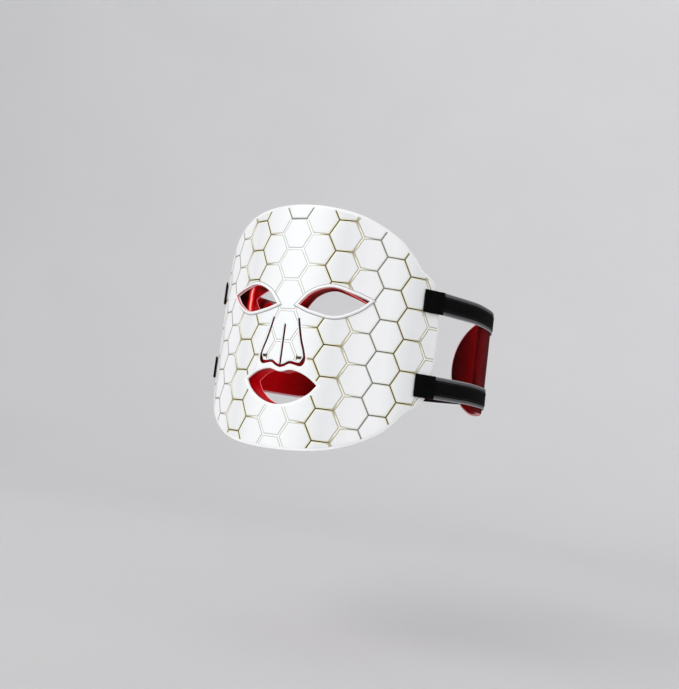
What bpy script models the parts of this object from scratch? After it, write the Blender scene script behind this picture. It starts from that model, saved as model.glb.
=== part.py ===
"""A flexible silicone face mask for light therapy, worn on the head by two straps on each side.

The mask is a laminate cut flat and then bent to the face: a white outer shell, flexible boards with
light packages, and a translucent liner. Soft shields stand behind the eye and mouth openings, two
flaps cover the nose, and webbing straps run from the side flaps to two rounded pads at the back.

Metres, +Z up. The mask faces -Y, +X is the wearer's left, and the origin is the centre of the head.
Outlines are drawn flat, in honeycomb cells: u runs sideways in UNIT, v runs down in ROW. A depth is
measured inwards from the outer face of the mask, so what lies on top of the mask has a negative one.
"""

import math

import bmesh
import bpy
from mathutils import Matrix, Vector

MODEL_NAME = "led_face_mask"
HIDDEN_NAME = "cutters"

# Driving dimensions
UNIT = 0.00685                     # half the side of one honeycomb cell
ROW = 1.8068 * UNIT                # half the height of one cell
MIDDLE_ROW = 6.0                   # the row at z = 0
FRONT_TO_HEAD = 16.0 * UNIT        # front of the mask to the centre of the head
BEND = (0.0643, -0.0669, 0.0873)   # curvature per UNIT: constant, square and fourth power terms
BEND_REACH = 18.0                  # where the square and fourth power terms reach those values
SHEET_STATIONS = 21                # bend lines on each side, one UNIT apart
GAP = 0.0003                       # between pieces that touch
MERGE = 0.000002                   # points closer than this are one point
FLAT_ANGLE = 0.002                 # radians: faces that meet more flatly than this are one face

# The laminate, as depths from the outer face
SKIN = 0.0016
LINER_TOP = 0.0036
LAMINATE = 0.0052
BOARD_TOP = SKIN + GAP
BOARD = 0.0004
LAMP_HEIGHT = 0.0010
LAMP_SIZE = (0.0028, 0.0034)
LAMP_ROOM = 0.0028                 # from a lamp's centre to the edge of its board
LIP = 0.0022
NOSE_LIP = 0.0012
LIP_TOP = 0.0011                   # the lips start inside the skin and are one body with it
JUMPER_TOP = BOARD_TOP + BOARD + GAP
JUMPER = 0.0002
JUMPER_HALF_WIDTH = 0.0030
JUMPER_ROOM = 0.0025               # from a lamp's centre to the edge of a jumper

# Openings
SHIELD_WALL = 0.0014
EYE_SHIELD_DEPTH = 0.0180
MOUTH_SHIELD_DEPTH = 0.0145
BEZEL_WIDTH = 0.0030
BEZEL_HEIGHT = 0.0012
BEZEL_SETBACK = 0.0001             # from the edge of the opening
NOSE_ROOT = 5.48                   # the row where the nose flaps are hinged
NOSE_SLIT = 0.0008                 # half the width of the slit between the flaps
FLAP_CLEARANCE = 0.0017            # around a nose flap
ROOT_SETBACK = 0.0005              # at the outer end of a flap's root

# Straps
PATCH = 0.0005
TAB = 0.0013
WEBBING = 0.0010
FACING = 0.0008
TAB_END = 15.9
PEEL_LINE = 17.7
UPPER_WEBBING = (3.50, 6.15)       # lower and upper edge at the tab, in UNIT above z = 0
UPPER_RISE = 0.45                  # how much higher the strap runs at the back
LOWER_WEBBING = (-6.27, -3.62)
LOWER_RISE = 0.28
RISE_LENGTH = 9.0                  # the length of strap that climbs, before it runs level
FACING_SETBACK = 0.45              # from each long edge of the webbing
STRAP_END = 20.5
PAD = 0.0040
PAD_FRONT = 11.0
PAD_CENTRE = (20.7, -0.2)
PAD_RADII = (5.9, 6.5)
PAD_CORNER = 1.6
REAR_STRAP = (-5.25, -2.40)
REAR_STRAP_START = 22.0

# Power inlet, on the inner face of the wearer's right flap
BOSS = (16.5, 18.5)
BOSS_ROW = 6.25
BOSS_HALF_HEIGHT = 0.0085
BOSS_DEPTH = (LAMINATE + GAP, 0.0118)
SOCKET_HALF = (0.0045, 0.0016)
SOCKET_BACK = 17.6
SOCKET_DEPTH = 0.0087
SOCKET_WALL = 0.0004
TONGUE_HALF = (0.0033, 0.00035)
TONGUE_SETBACK = 0.0008

# Outlines of the right half, in cells; the first and last points of the mask's lie on its middle
MASK_EDGE = [
    (0, -1.94), (4.4, -1.78), (8.2, -1.33), (12.1, -0.32), (14.3, 0.71), (15.4, 1.41), (16.6, 1.82),
    (17.5, 2.25), (18.15, 3.4), (18.57, 5.0), (18.62, 6.4), (18.33, 7.9), (17.95, 9.1),
    (17.4, 9.75), (16.4, 10.17), (15.15, 10.65), (13.9, 11.42), (12.1, 12.25), (8.75, 13.16),
    (5.3, 13.65), (0, 13.85),
]
EYE_TOP = [(1.45, 4.60), (2.88, 3.79), (5.10, 3.37), (7.44, 3.62), (9.55, 3.98)]
EYE_BOTTOM = [(9.55, 3.98), (8.19, 4.62), (5.90, 5.15), (3.17, 4.94), (1.45, 4.60)]
MOUTH_TOP = [(0, 8.96), (1.49, 8.80), (3.23, 9.05), (4.77, 9.61)]
MOUTH_BOTTOM = [(4.77, 9.61), (3.83, 10.22), (2.12, 10.78), (0, 11.02)]
NOSE_SIDE = [(1.80, NOSE_ROOT), (2.10, 6.20), (2.45, 6.90), (2.85, 7.50), (3.08, 7.95)]
NOSE_CORNER = [(3.08, 7.95), (3.02, 8.28), (2.70, 8.50), (2.25, 8.52)]
NOSE_BASE = [(2.25, 8.52), (1.80, 8.46), (1.20, 8.42), (0.60, 8.60), (0, 8.70)]
FOREHEAD_BOARD = [
    (0, -1.3), (4.3, -1.15), (8.0, -0.72), (11.4, 0.15), (12.0, 1.3), (11.0, 2.5), (8.4, 3.0),
    (5.3, 2.8), (3.0, 3.05), (1.6, 3.8), (0, 4.35),
]
CHEEK_BOARD = [
    (11.4, 3.4), (13.0, 2.8), (14.8, 2.9), (15.7, 4.1), (15.9, 6.0), (15.7, 8.4), (14.8, 9.7),
    (12.6, 10.9), (9.8, 11.7), (7.4, 11.4), (6.4, 9.8), (5.0, 8.6), (3.9, 7.2), (3.6, 6.0),
    (6.4, 5.75), (9.0, 5.3), (10.6, 4.3),
]
CHIN_BOARD = [(0, 11.65), (2.6, 11.55), (4.9, 11.25), (6.0, 11.9), (5.6, 12.9), (3.0, 13.25), (0, 13.35)]
TEMPLE_JUMPER = ((11.1, 1.7), (12.9, 3.7))
JAW_JUMPER = ((4.9, 12.2), (7.9, 10.9))
DRIVER_BOARD = ((16.3, 5.2), (18.0, 7.3))
# The strap's inner face seen from above, in UNIT from the front of the mask, to the middle of the back
STRAP_ROUTE = [
    (14.90, 8.43), (15.22, 9.08), (15.50, 10.50), (15.80, 12.30), (16.20, 14.60), (16.55, 17.40),
    (16.68, 20.40), (16.45, 23.40), (15.30, 26.70), (13.05, 29.35), (9.65, 31.05), (5.15, 32.05),
    (0, 32.35),
]

WHITE = (0.90, 0.90, 0.89)
RED = (0.62, 0.01, 0.01)
CLEAR_RED = (0.75, 0.08, 0.07)
COPPER_BROWN = (0.45, 0.25, 0.10)
GREEN = (0.04, 0.22, 0.10)
GREY = (0.30, 0.30, 0.31)
BLACK = (0.015, 0.015, 0.016)
STEEL = (0.60, 0.60, 0.62)


def start_scene():
    """Empty the scene and give it one collection for the parts and one for the cutters."""
    for thing in list(bpy.data.objects):
        bpy.data.objects.remove(thing, do_unlink=True)
    for name in (MODEL_NAME, HIDDEN_NAME):
        bpy.context.scene.collection.children.link(bpy.data.collections.new(name))


def finish_of(name, color, roughness, metallic=0.0):
    """One Principled material."""
    material = bpy.data.materials.new(name)
    material.use_nodes = True
    shader = material.node_tree.nodes["Principled BSDF"]
    shader.inputs["Base Color"].default_value = (*color, 1.0)
    shader.inputs["Roughness"].default_value = roughness
    shader.inputs["Metallic"].default_value = metallic
    return material


# Outlines

def through(points, pieces=3, closed=False):
    """A smooth curve through the points, with this many pieces between two of them."""
    knots = [Vector(p) for p in points]
    if closed:
        knots = [knots[-1]] + knots + knots[:2]
    times = [0.0]
    for a, b in zip(knots, knots[1:]):
        times.append(times[-1] + (b - a).length)
    slopes = [
        (knots[i + 1] - knots[i - 1]) / (times[i + 1] - times[i - 1]) for i in range(1, len(knots) - 1)
    ]
    first = 1.5 * (knots[1] - knots[0]) / (times[1] - times[0]) - 0.5 * slopes[0]
    last = 1.5 * (knots[-1] - knots[-2]) / (times[-1] - times[-2]) - 0.5 * slopes[-1]
    slopes = [first] + slopes + [last]
    spans = range(1, len(knots) - 2) if closed else range(len(knots) - 1)
    curve = []
    for i in spans:
        length = times[i + 1] - times[i]
        for step in range(pieces):
            t = step / pieces
            curve.append(
                knots[i] * (2 * t ** 3 - 3 * t ** 2 + 1)
                + knots[i + 1] * (3 * t ** 2 - 2 * t ** 3)
                + slopes[i] * length * (t ** 3 - 2 * t ** 2 + t)
                + slopes[i + 1] * length * (t ** 3 - t ** 2)
            )
    if not closed:
        curve.append(knots[-1])
    return [tuple(p) for p in curve]


def mirrored(points):
    """The same points on the other side of the middle, in the opposite order."""
    return [(-x, y) for x, y in reversed(points)]


def both_halves(points):
    """A closed list of points from a half whose two ends lie on the middle."""
    return points + mirrored(points)[1:-1]


def flat(points):
    """Cells to metres, turned anticlockwise."""
    loop = [(u * UNIT, (MIDDLE_ROW - v) * ROW) for u, v in points]
    return anticlockwise(loop)


def anticlockwise(loop):
    area = sum(a[0] * b[1] - b[0] * a[1] for a, b in zip(loop, loop[1:] + loop[:1]))
    return loop if area > 0 else loop[::-1]


def grow(loop, distance):
    """The closed anticlockwise loop moved outwards by a distance, with its corners mitred."""
    moved = []
    for before, here, after in zip(loop[-1:] + loop[:-1], loop, loop[1:] + loop[:1]):
        one = (Vector(here) - Vector(before)).normalized()
        two = (Vector(after) - Vector(here)).normalized()
        mitre = Vector((one.y + two.y, -one.x - two.x)).normalized()
        stretch = 1.0 / max(0.5, mitre.dot(Vector((one.y, -one.x))))
        moved.append(tuple(Vector(here) + mitre * distance * stretch))
    return moved


def rectangle(low, high):
    """A closed loop from two opposite corners."""
    return anticlockwise([(low[0], low[1]), (high[0], low[1]), (high[0], high[1]), (low[0], high[1])])


def mask_outline():
    return flat(through(both_halves(MASK_EDGE), 3, closed=True))


def eye_outline():
    return flat(through(EYE_TOP, 4)[:-1] + through(EYE_BOTTOM, 4)[:-1])


def mouth_outline():
    top = through(mirrored(MOUTH_TOP)[:-1] + MOUTH_TOP, 3)
    bottom = through(MOUTH_BOTTOM + mirrored(MOUTH_BOTTOM)[1:], 3)
    return flat(top[:-1] + bottom[:-1])


def nose_outline():
    half = through(NOSE_SIDE, 2)[:-1] + through(NOSE_CORNER, 2)[:-1] + through(NOSE_BASE, 2)
    return flat(half + mirrored(half)[1:])


def other_side(loop):
    return anticlockwise(mirrored(loop))


def nose_flap_outline():
    """The half of the nose opening on the wearer's left, with room all round and a straight root."""
    root = (MIDDLE_ROW - NOSE_ROOT) * ROW - GAP
    inner = grow(nose_outline(), -FLAP_CLEARANCE)
    side = [p for p in inner if p[0] > NOSE_SLIT and p[1] < root - FLAP_CLEARANCE]
    side.sort(key=lambda p: math.atan2(p[1] - 0.5 * root, p[0] - NOSE_SLIT))
    foot = min(p[1] for p in inner if abs(p[0]) < UNIT)
    start = side[-1][0] - ROOT_SETBACK
    return anticlockwise([(NOSE_SLIT, root), (NOSE_SLIT, foot)] + side + [(start, root)])


# Bending

def sheet_plan(distance):
    """Where a point of the outer face lies seen from above, at a distance from the middle."""
    steps = 200
    here = Vector((0.0, 0.0))
    reach = abs(distance) / UNIT
    for i in range(steps):
        s = (i + 0.5) * reach / steps
        q = (s / BEND_REACH) ** 2
        angle = s * (BEND[0] + BEND[1] * q / 3 + BEND[2] * q * q / 5)
        here += Vector((math.cos(angle), math.sin(angle))) * reach / steps
    return Vector((math.copysign(here.x, distance), here.y)) * UNIT


def stations_along(distances, plan):
    """Distance, place and inward mitre of each bend line of a route seen from above."""
    stations = []
    for i, here in enumerate(plan):
        before = (here - plan[max(i - 1, 0)]) if i else (plan[1] - here)
        after = (plan[i + 1] - here) if i + 1 < len(plan) else before
        one = Vector((-before.y, before.x)).normalized()
        two = Vector((-after.y, after.x)).normalized()
        mitre = (one + two).normalized()
        stations.append((distances[i], here - Vector((0.0, FRONT_TO_HEAD)), mitre / mitre.dot(one)))
    return stations


def sheet_stations():
    """The bend lines of the mask, half a UNIT to each side of its middle and one UNIT apart."""
    distances = [(i + 0.5) * UNIT for i in range(-SHEET_STATIONS, SHEET_STATIONS)]
    return stations_along(distances, [sheet_plan(d) for d in distances])


def strap_stations():
    """The bend lines of the strap route, from the left flap round the back to the right one."""
    route = through(STRAP_ROUTE + mirrored(STRAP_ROUTE)[1:], 2)
    plan = [Vector(p) * UNIT for p in route]
    distances = [0.0]
    for a, b in zip(plan, plan[1:]):
        distances.append(distances[-1] + (b - a).length)
    return stations_along(distances, plan)


def carried(stations, point):
    """Where a flat point (distance, height, minus depth) lies once the route is bent."""
    last = len(stations) - 2
    i = max(k for k in range(last + 1) if k == 0 or stations[k][0] <= point[0] + 1e-7)
    (a, place_a, mitre_a), (b, place_b, mitre_b) = stations[i], stations[i + 1]
    share = (point[0] - a) / (b - a)
    plan = place_a.lerp(place_b, share) - mitre_a.lerp(mitre_b, share) * point[2]
    return Vector((plan.x, plan.y, point[1]))


def bend(solid, stations):
    """Cut the flat solid at the bend lines, carry it onto the route and drop the spare edges."""
    low = min(v.co.x for v in solid.verts)
    high = max(v.co.x for v in solid.verts)
    for distance, _, _ in stations:
        if low + GAP / 10 < distance < high - GAP / 10:
            everything = solid.verts[:] + solid.edges[:] + solid.faces[:]
            bmesh.ops.bisect_plane(
                solid, geom=everything, dist=MERGE / 2, plane_co=(distance, 0, 0), plane_no=(1, 0, 0)
            )
    for vertex in solid.verts:
        vertex.co = carried(stations, vertex.co)
    bmesh.ops.remove_doubles(solid, verts=solid.verts[:], dist=MERGE)
    bmesh.ops.dissolve_limit(solid, angle_limit=FLAT_ANGLE, verts=solid.verts[:], edges=solid.edges[:])
    bmesh.ops.triangulate(solid, faces=solid.faces[:])
    bmesh.ops.recalc_face_normals(solid, faces=solid.faces[:])


# Solids

def slab(loops, shallow, deep):
    """A flat solid between two depths, from an outline and the outlines of its holes."""
    curve = bpy.data.curves.new("outline", "CURVE")
    curve.dimensions = "2D"
    curve.fill_mode = "BOTH"
    curve.extrude = (deep - shallow) / 2
    for loop in loops:
        spline = curve.splines.new("POLY")
        spline.points.add(len(loop) - 1)
        spline.use_cyclic_u = True
        for point, (x, y) in zip(spline.points, loop):
            point.co = (x, y, 0.0, 1.0)
    guide = bpy.data.objects.new("outline", curve)
    bpy.context.scene.collection.objects.link(guide)
    bpy.context.view_layer.update()
    mesh = bpy.data.meshes.new_from_object(guide.evaluated_get(bpy.context.evaluated_depsgraph_get()))
    bpy.data.objects.remove(guide, do_unlink=True)
    solid = bmesh.new()
    solid.from_mesh(mesh)
    bmesh.ops.remove_doubles(solid, verts=solid.verts[:], dist=MERGE)
    bmesh.ops.translate(solid, verts=solid.verts[:], vec=(0, 0, -(shallow + deep) / 2))
    bmesh.ops.recalc_face_normals(solid, faces=solid.faces[:])
    return solid


def combined(solid, others, operation):
    """The solid joined with the others, or cut by them, with exact Booleans."""
    hidden = bpy.data.collections[HIDDEN_NAME]
    mesh = bpy.data.meshes.new("work")
    solid.to_mesh(mesh)
    work = bpy.data.objects.new("work", mesh)
    hidden.objects.link(work)
    tools = []
    for other in others:
        tool_mesh = bpy.data.meshes.new("tool")
        other.to_mesh(tool_mesh)
        tool = bpy.data.objects.new("tool", tool_mesh)
        tool.hide_render = True
        tool.display_type = "WIRE"
        hidden.objects.link(tool)
        tools.append(tool)
        cut = work.modifiers.new("cut", "BOOLEAN")
        cut.operation = operation
        cut.solver = "EXACT"
        cut.object = tool
    bpy.context.view_layer.update()
    made = bpy.data.meshes.new_from_object(work.evaluated_get(bpy.context.evaluated_depsgraph_get()))
    result = bmesh.new()
    result.from_mesh(made)
    for thing in [work] + tools:
        bpy.data.objects.remove(thing, do_unlink=True)
    return result


def block(low, high):
    """A flat box between two corners (distance, height, minus depth)."""
    solid = bmesh.new()
    bmesh.ops.create_cube(solid, size=1.0)
    size = [abs(b - a) for a, b in zip(low, high)]
    centre = [(a + b) / 2 for a, b in zip(low, high)]
    bmesh.ops.transform(solid, matrix=Matrix.Diagonal((*size, 1.0)), verts=solid.verts[:])
    bmesh.ops.translate(solid, verts=solid.verts[:], vec=centre)
    return solid


def reflected(solid):
    """A copy of the solid on the wearer's other side."""
    copy = solid.copy()
    bmesh.ops.scale(copy, vec=(-1, 1, 1), verts=copy.verts[:])
    bmesh.ops.reverse_faces(copy, faces=copy.faces[:])
    return copy


def add_part(name, solid, material, origin=(0.0, 0.0, 0.0)):
    """Put the solid in the scene as a named object whose own origin is at the point given."""
    bmesh.ops.translate(solid, verts=solid.verts[:], vec=-Vector(origin))
    mesh = bpy.data.meshes.new(name)
    solid.to_mesh(mesh)
    mesh.materials.append(material)
    part = bpy.data.objects.new(name, mesh)
    part.location = origin
    bpy.data.collections[MODEL_NAME].objects.link(part)
    return part


def add_pair(name, solid, material, origin=(0.0, 0.0, 0.0)):
    """A part on the wearer's left and its mirror image on the right."""
    other = reflected(solid)
    add_part(name + "_left", solid, material, origin)
    add_part(name + "_right", other, material, (-origin[0], origin[1], origin[2]))


# The laminate

def make_outer_shell(sheet):
    edge = mask_outline()
    nose = nose_outline()
    holes = [eye_outline(), other_side(eye_outline()), mouth_outline(), nose]
    skin = slab([edge] + holes, 0.0, SKIN)
    rim = slab([edge, grow(edge, -LIP)], LIP_TOP, LAMINATE)
    nose_rim = slab([grow(nose, NOSE_LIP), nose], LIP_TOP, LAMINATE)
    shell = combined(skin, [rim, nose_rim], "UNION")
    bend(shell, sheet)
    add_part("outer_shell", shell, finish_of("white_silicone", WHITE, 0.35))


def make_inner_liner(sheet):
    eye = grow(eye_outline(), SHIELD_WALL + 2 * GAP)
    mouth = grow(mouth_outline(), SHIELD_WALL + 2 * GAP)
    nose = grow(nose_outline(), NOSE_LIP + GAP)
    edge = grow(mask_outline(), -LIP - GAP)
    liner = slab([edge, eye, other_side(eye), mouth, nose], LINER_TOP, LAMINATE)
    bend(liner, sheet)
    add_part("inner_liner", liner, finish_of("clear_silicone", CLEAR_RED, 0.2))


def inside(loop, point):
    """Whether the point is inside the closed loop."""
    crossings = 0
    for a, b in zip(loop, loop[1:] + loop[:1]):
        if (a[1] > point[1]) != (b[1] > point[1]):
            at = a[0] + (point[1] - a[1]) * (b[0] - a[0]) / (b[1] - a[1])
            crossings += at > point[0]
    return crossings % 2 == 1


def jumper_loops():
    """The outlines of the two jumpers on the wearer's left, and their mirror images."""
    loops = []
    for low, high in (TEMPLE_JUMPER, JAW_JUMPER):
        a = Vector((low[0] * UNIT, (MIDDLE_ROW - low[1]) * ROW))
        b = Vector((high[0] * UNIT, (MIDDLE_ROW - high[1]) * ROW))
        across = (b - a).orthogonal().normalized() * JUMPER_HALF_WIDTH
        corners = (a - across, b - across, b + across, a + across)
        loops.append(anticlockwise([tuple(p) for p in corners]))
    return loops


def lamp_places(board):
    """The corners and centres of the honeycomb cells that lie well inside the board."""
    room = grow(board, -LAMP_ROOM)
    jumpers = [grow(loop, JUMPER_ROOM) for loop in jumper_loops()]
    jumpers += [other_side(loop) for loop in jumpers]
    places = []
    for u in range(-18, 19):
        for v in range(-2, 14):
            point = (u * UNIT, (MIDDLE_ROW - v) * ROW)
            on_lattice = (u + v) % 2 == 0
            if on_lattice and inside(room, point) and not any(inside(j, point) for j in jumpers):
                places.append(point)
    return places


def board_solid(outline):
    """A flexible board with a light package at every place, as one body."""
    board = slab([outline], BOARD_TOP, BOARD_TOP + BOARD)
    top = BOARD_TOP + BOARD / 2
    deep = BOARD_TOP + BOARD + LAMP_HEIGHT
    lamps = bmesh.new()
    for x, y in lamp_places(outline):
        half = (LAMP_SIZE[0] / 2, LAMP_SIZE[1] / 2)
        lamp = block((x - half[0], y - half[1], -deep), (x + half[0], y + half[1], -top))
        mesh = bpy.data.meshes.new("lamp")
        lamp.to_mesh(mesh)
        lamps.from_mesh(mesh)
    return combined(board, [lamps], "UNION")


def make_boards(sheet):
    material = finish_of("flex_board", COPPER_BROWN, 0.5)
    for name, half in (("forehead_board", FOREHEAD_BOARD), ("chin_board", CHIN_BOARD)):
        board = board_solid(flat(through(both_halves(half), 2, closed=True)))
        bend(board, sheet)
        add_part(name, board, material)
    cheek = board_solid(flat(through(CHEEK_BOARD, 2, closed=True)))
    bend(cheek, sheet)
    add_pair("cheek_board", cheek, material)


def make_jumpers(sheet):
    material = finish_of("flex_jumper", COPPER_BROWN, 0.4)
    for name, loop in zip(("temple_jumper", "jaw_jumper"), jumper_loops()):
        jumper = slab([loop], JUMPER_TOP, JUMPER_TOP + JUMPER)
        bend(jumper, sheet)
        add_pair(name, jumper, material)


# Openings in the face

def make_eye_pieces(sheet):
    eye = eye_outline()
    bezel = slab([grow(eye, BEZEL_WIDTH), grow(eye, BEZEL_SETBACK)], -GAP - BEZEL_HEIGHT, -GAP)
    bend(bezel, sheet)
    add_pair("eye_bezel", bezel, finish_of("bezel_silicone", WHITE, 0.3))
    shield = slab([grow(eye, SHIELD_WALL + GAP), grow(eye, GAP)], SKIN + GAP, EYE_SHIELD_DEPTH)
    bend(shield, sheet)
    add_pair("eye_shield", shield, finish_of("shield_silicone", RED, 0.25))


def make_mouth_shield(sheet):
    mouth = mouth_outline()
    shield = slab([grow(mouth, SHIELD_WALL + GAP), grow(mouth, GAP)], SKIN + GAP, MOUTH_SHIELD_DEPTH)
    bend(shield, sheet)
    add_part("mouth_shield", shield, finish_of("mouth_silicone", RED, 0.25))


def make_nose_flaps(sheet):
    loop = nose_flap_outline()
    flap = slab([loop], 0.0, LAMINATE)
    bend(flap, sheet)
    middle = (min(p[0] for p in loop) + max(p[0] for p in loop if p[1] > loop[0][1] - GAP)) / 2
    root = carried(sheet, (middle, max(p[1] for p in loop), 0.0))
    add_pair("nose_flap", flap, finish_of("flap_silicone", WHITE, 0.35), root)


# Straps

def strap_loop(start, end, edges, setback=0.0):
    low, high = (edges[0] + setback) * UNIT, (edges[1] - setback) * UNIT
    return rectangle((start, low), (end, high))


def climbing_loop(start, end, edges, rise, setback=0.0):
    """The outline of a strip that climbs along its first part and then runs level."""
    low, high = (edges[0] + setback) * UNIT, (edges[1] - setback) * UNIT
    level = RISE_LENGTH * UNIT
    up = rise * UNIT
    first = up * start / level
    return [
        (start, low + first), (level, low + up), (end, low + up),
        (end, high + up), (level, high + up), (start, high + first),
    ]


def make_straps(sheet, route):
    patch_finish = finish_of("loop_pile", GREY, 0.9)
    tab_finish = finish_of("hook_tab", BLACK, 0.85)
    webbing_finish = finish_of("grey_webbing", GREY, 0.85)
    facing_finish = finish_of("black_loop_tape", BLACK, 0.9)
    line = PEEL_LINE * UNIT
    end = STRAP_END * UNIT
    for level, webbing, rise in (
        ("upper", UPPER_WEBBING, UPPER_RISE),
        ("lower", LOWER_WEBBING, LOWER_RISE),
    ):
        cut = strap_loop(TAB_END * UNIT + GAP, line - 2 * GAP, webbing, FACING_SETBACK)
        patch = slab([cut], -GAP - PATCH, -GAP)
        bend(patch, sheet)
        add_pair(f"loop_patch_{level}", patch, patch_finish)
        under = 2 * GAP + PATCH
        tab = slab([strap_loop(TAB_END * UNIT, line - GAP / 2, webbing)], -under - TAB, -under)
        bend(tab, sheet)
        peel = carried(sheet, (line, sum(webbing) / 2 * UNIT, under + TAB))
        add_pair(f"strap_tab_{level}", tab, tab_finish, peel)
        run = slab([climbing_loop(GAP / 2, end, webbing, rise)], -WEBBING, 0.0)
        bend(run, route)
        add_pair(f"strap_webbing_{level}", run, webbing_finish)
        cut = climbing_loop(GAP / 2, end - UNIT, webbing, rise, FACING_SETBACK)
        cover = slab([cut], -WEBBING - GAP - FACING, -WEBBING - GAP)
        bend(cover, route)
        add_pair(f"strap_facing_{level}", cover, facing_finish)


def pad_loop():
    """A panel with rounded front corners and a half ellipse towards the middle of the back."""
    points = []
    for i in range(17):
        turn = math.radians(-90 + 180 * i / 16)
        points.append(
            (PAD_CENTRE[0] + PAD_RADII[0] * math.cos(turn), PAD_CENTRE[1] + PAD_RADII[1] * math.sin(turn))
        )
    for side in (1, -1):
        for i in range(5):
            turn = math.radians(90 + 22.5 * i) if side == 1 else math.radians(180 + 22.5 * i)
            points.append((
                PAD_FRONT + PAD_CORNER * (1 + math.cos(turn)),
                PAD_CENTRE[1] + side * (PAD_RADII[1] - PAD_CORNER) + PAD_CORNER * math.sin(turn),
            ))
    return anticlockwise([(t * UNIT, z * UNIT) for t, z in points])


def make_rear(route):
    pad = slab([pad_loop()], GAP, GAP + PAD)
    bend(pad, route)
    add_pair("rear_pad", pad, finish_of("pad_foam", RED, 0.6))
    start = REAR_STRAP_START * UNIT
    strap = slab([strap_loop(start, route[-1][0] - start, REAR_STRAP)], -WEBBING, 0.0)
    bend(strap, route)
    add_part("rear_strap", strap, finish_of("rear_webbing", BLACK, 0.85))


# Power inlet

def make_inlet(sheet):
    """Made on the wearer's left, where the bend lines ascend, and reflected."""
    height = (MIDDLE_ROW - BOSS_ROW) * ROW
    start, end = BOSS[0] * UNIT, BOSS[1] * UNIT
    boss = slab(
        [rectangle((start, height - BOSS_HALF_HEIGHT), (end, height + BOSS_HALF_HEIGHT))], *BOSS_DEPTH
    )
    back, front, open_end = SOCKET_BACK * UNIT, end - GAP, end + UNIT

    def socket_block(near, far, half_height, half_depth):
        return block(
            (near, height - half_height, -SOCKET_DEPTH - half_depth),
            (far, height + half_height, -SOCKET_DEPTH + half_depth),
        )

    tall, thick = SOCKET_HALF
    pocket = socket_block(back - GAP, open_end, tall + GAP, thick + GAP)
    boss = combined(boss, [pocket], "DIFFERENCE")
    bend(boss, sheet)
    add_part("inlet_boss", reflected(boss), finish_of("boss_silicone", WHITE, 0.4))

    socket = socket_block(back, front, tall, thick)
    hollow = socket_block(back + SOCKET_WALL, open_end, tall - SOCKET_WALL, thick - SOCKET_WALL)
    tongue = socket_block(back + SOCKET_WALL / 2, front - TONGUE_SETBACK, *TONGUE_HALF)
    socket = combined(combined(socket, [hollow], "DIFFERENCE"), [tongue], "UNION")
    bend(socket, sheet)
    add_part("power_socket", reflected(socket), finish_of("socket_steel", STEEL, 0.3, 1.0))

    (low_u, low_v), (high_u, high_v) = DRIVER_BOARD
    loop = flat([(low_u, low_v), (high_u, low_v), (high_u, high_v), (low_u, high_v)])
    driver = slab([loop], BOARD_TOP, BOARD_TOP + 2 * BOARD)
    bend(driver, sheet)
    add_part("driver_board", reflected(driver), finish_of("rigid_board", GREEN, 0.5))


def build():
    start_scene()
    sheet = sheet_stations()
    route = strap_stations()
    make_outer_shell(sheet)
    make_inner_liner(sheet)
    make_boards(sheet)
    make_jumpers(sheet)
    make_eye_pieces(sheet)
    make_mouth_shield(sheet)
    make_nose_flaps(sheet)
    make_straps(sheet, route)
    make_rear(route)
    make_inlet(sheet)


build()
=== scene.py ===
"""Looks of a flexible LED face mask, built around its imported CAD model.

The mask is a laminate that is cut flat and bent to the face, so most pieces are made flat and carried
onto the bent sheet, or onto the route of the straps. Flat points are (distance sideways, height, minus
depth), in metres; outlines are in honeycomb cells: u runs sideways in UNIT, v runs down in ROW.
"""

import math

import bmesh
import bpy
import numpy as np
from mathutils import Matrix, Vector
from mathutils.geometry import tessellate_polygon


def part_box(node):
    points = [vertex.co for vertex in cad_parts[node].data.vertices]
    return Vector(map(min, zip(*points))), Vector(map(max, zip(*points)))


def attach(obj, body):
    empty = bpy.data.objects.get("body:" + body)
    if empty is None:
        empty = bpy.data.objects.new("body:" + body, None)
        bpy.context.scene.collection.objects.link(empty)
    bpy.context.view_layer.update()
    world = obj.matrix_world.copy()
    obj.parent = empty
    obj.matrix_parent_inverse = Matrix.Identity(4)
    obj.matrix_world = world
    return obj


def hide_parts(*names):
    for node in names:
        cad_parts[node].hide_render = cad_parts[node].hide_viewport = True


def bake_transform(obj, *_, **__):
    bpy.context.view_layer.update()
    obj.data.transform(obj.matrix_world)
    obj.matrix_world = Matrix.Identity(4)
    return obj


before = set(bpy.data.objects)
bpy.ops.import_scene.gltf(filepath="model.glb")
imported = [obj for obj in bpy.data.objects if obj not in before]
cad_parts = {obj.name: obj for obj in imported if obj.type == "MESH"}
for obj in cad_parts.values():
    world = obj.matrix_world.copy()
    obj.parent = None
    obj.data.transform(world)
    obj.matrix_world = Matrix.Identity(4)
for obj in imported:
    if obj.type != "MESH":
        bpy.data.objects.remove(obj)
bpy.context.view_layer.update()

# The honeycomb's cell sets every size. The mask's height in rows is known, so the frame gives the row.
MASK_ROWS = 13.85 + 1.94
shell_low, shell_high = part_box("outer_shell")
ROW = (shell_high.z - shell_low.z) / MASK_ROWS
UNIT = ROW / 1.8068
MIDDLE_ROW = 6.0
FRONT_TO_HEAD = 16.0 * UNIT
BEND = (0.0643, -0.0669, 0.0873)   # the sheet's turn per UNIT, by powers of (distance / BEND_REACH) ** 2
BEND_REACH = 18.0
GAP = 0.0003                       # between glued layers

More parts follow.
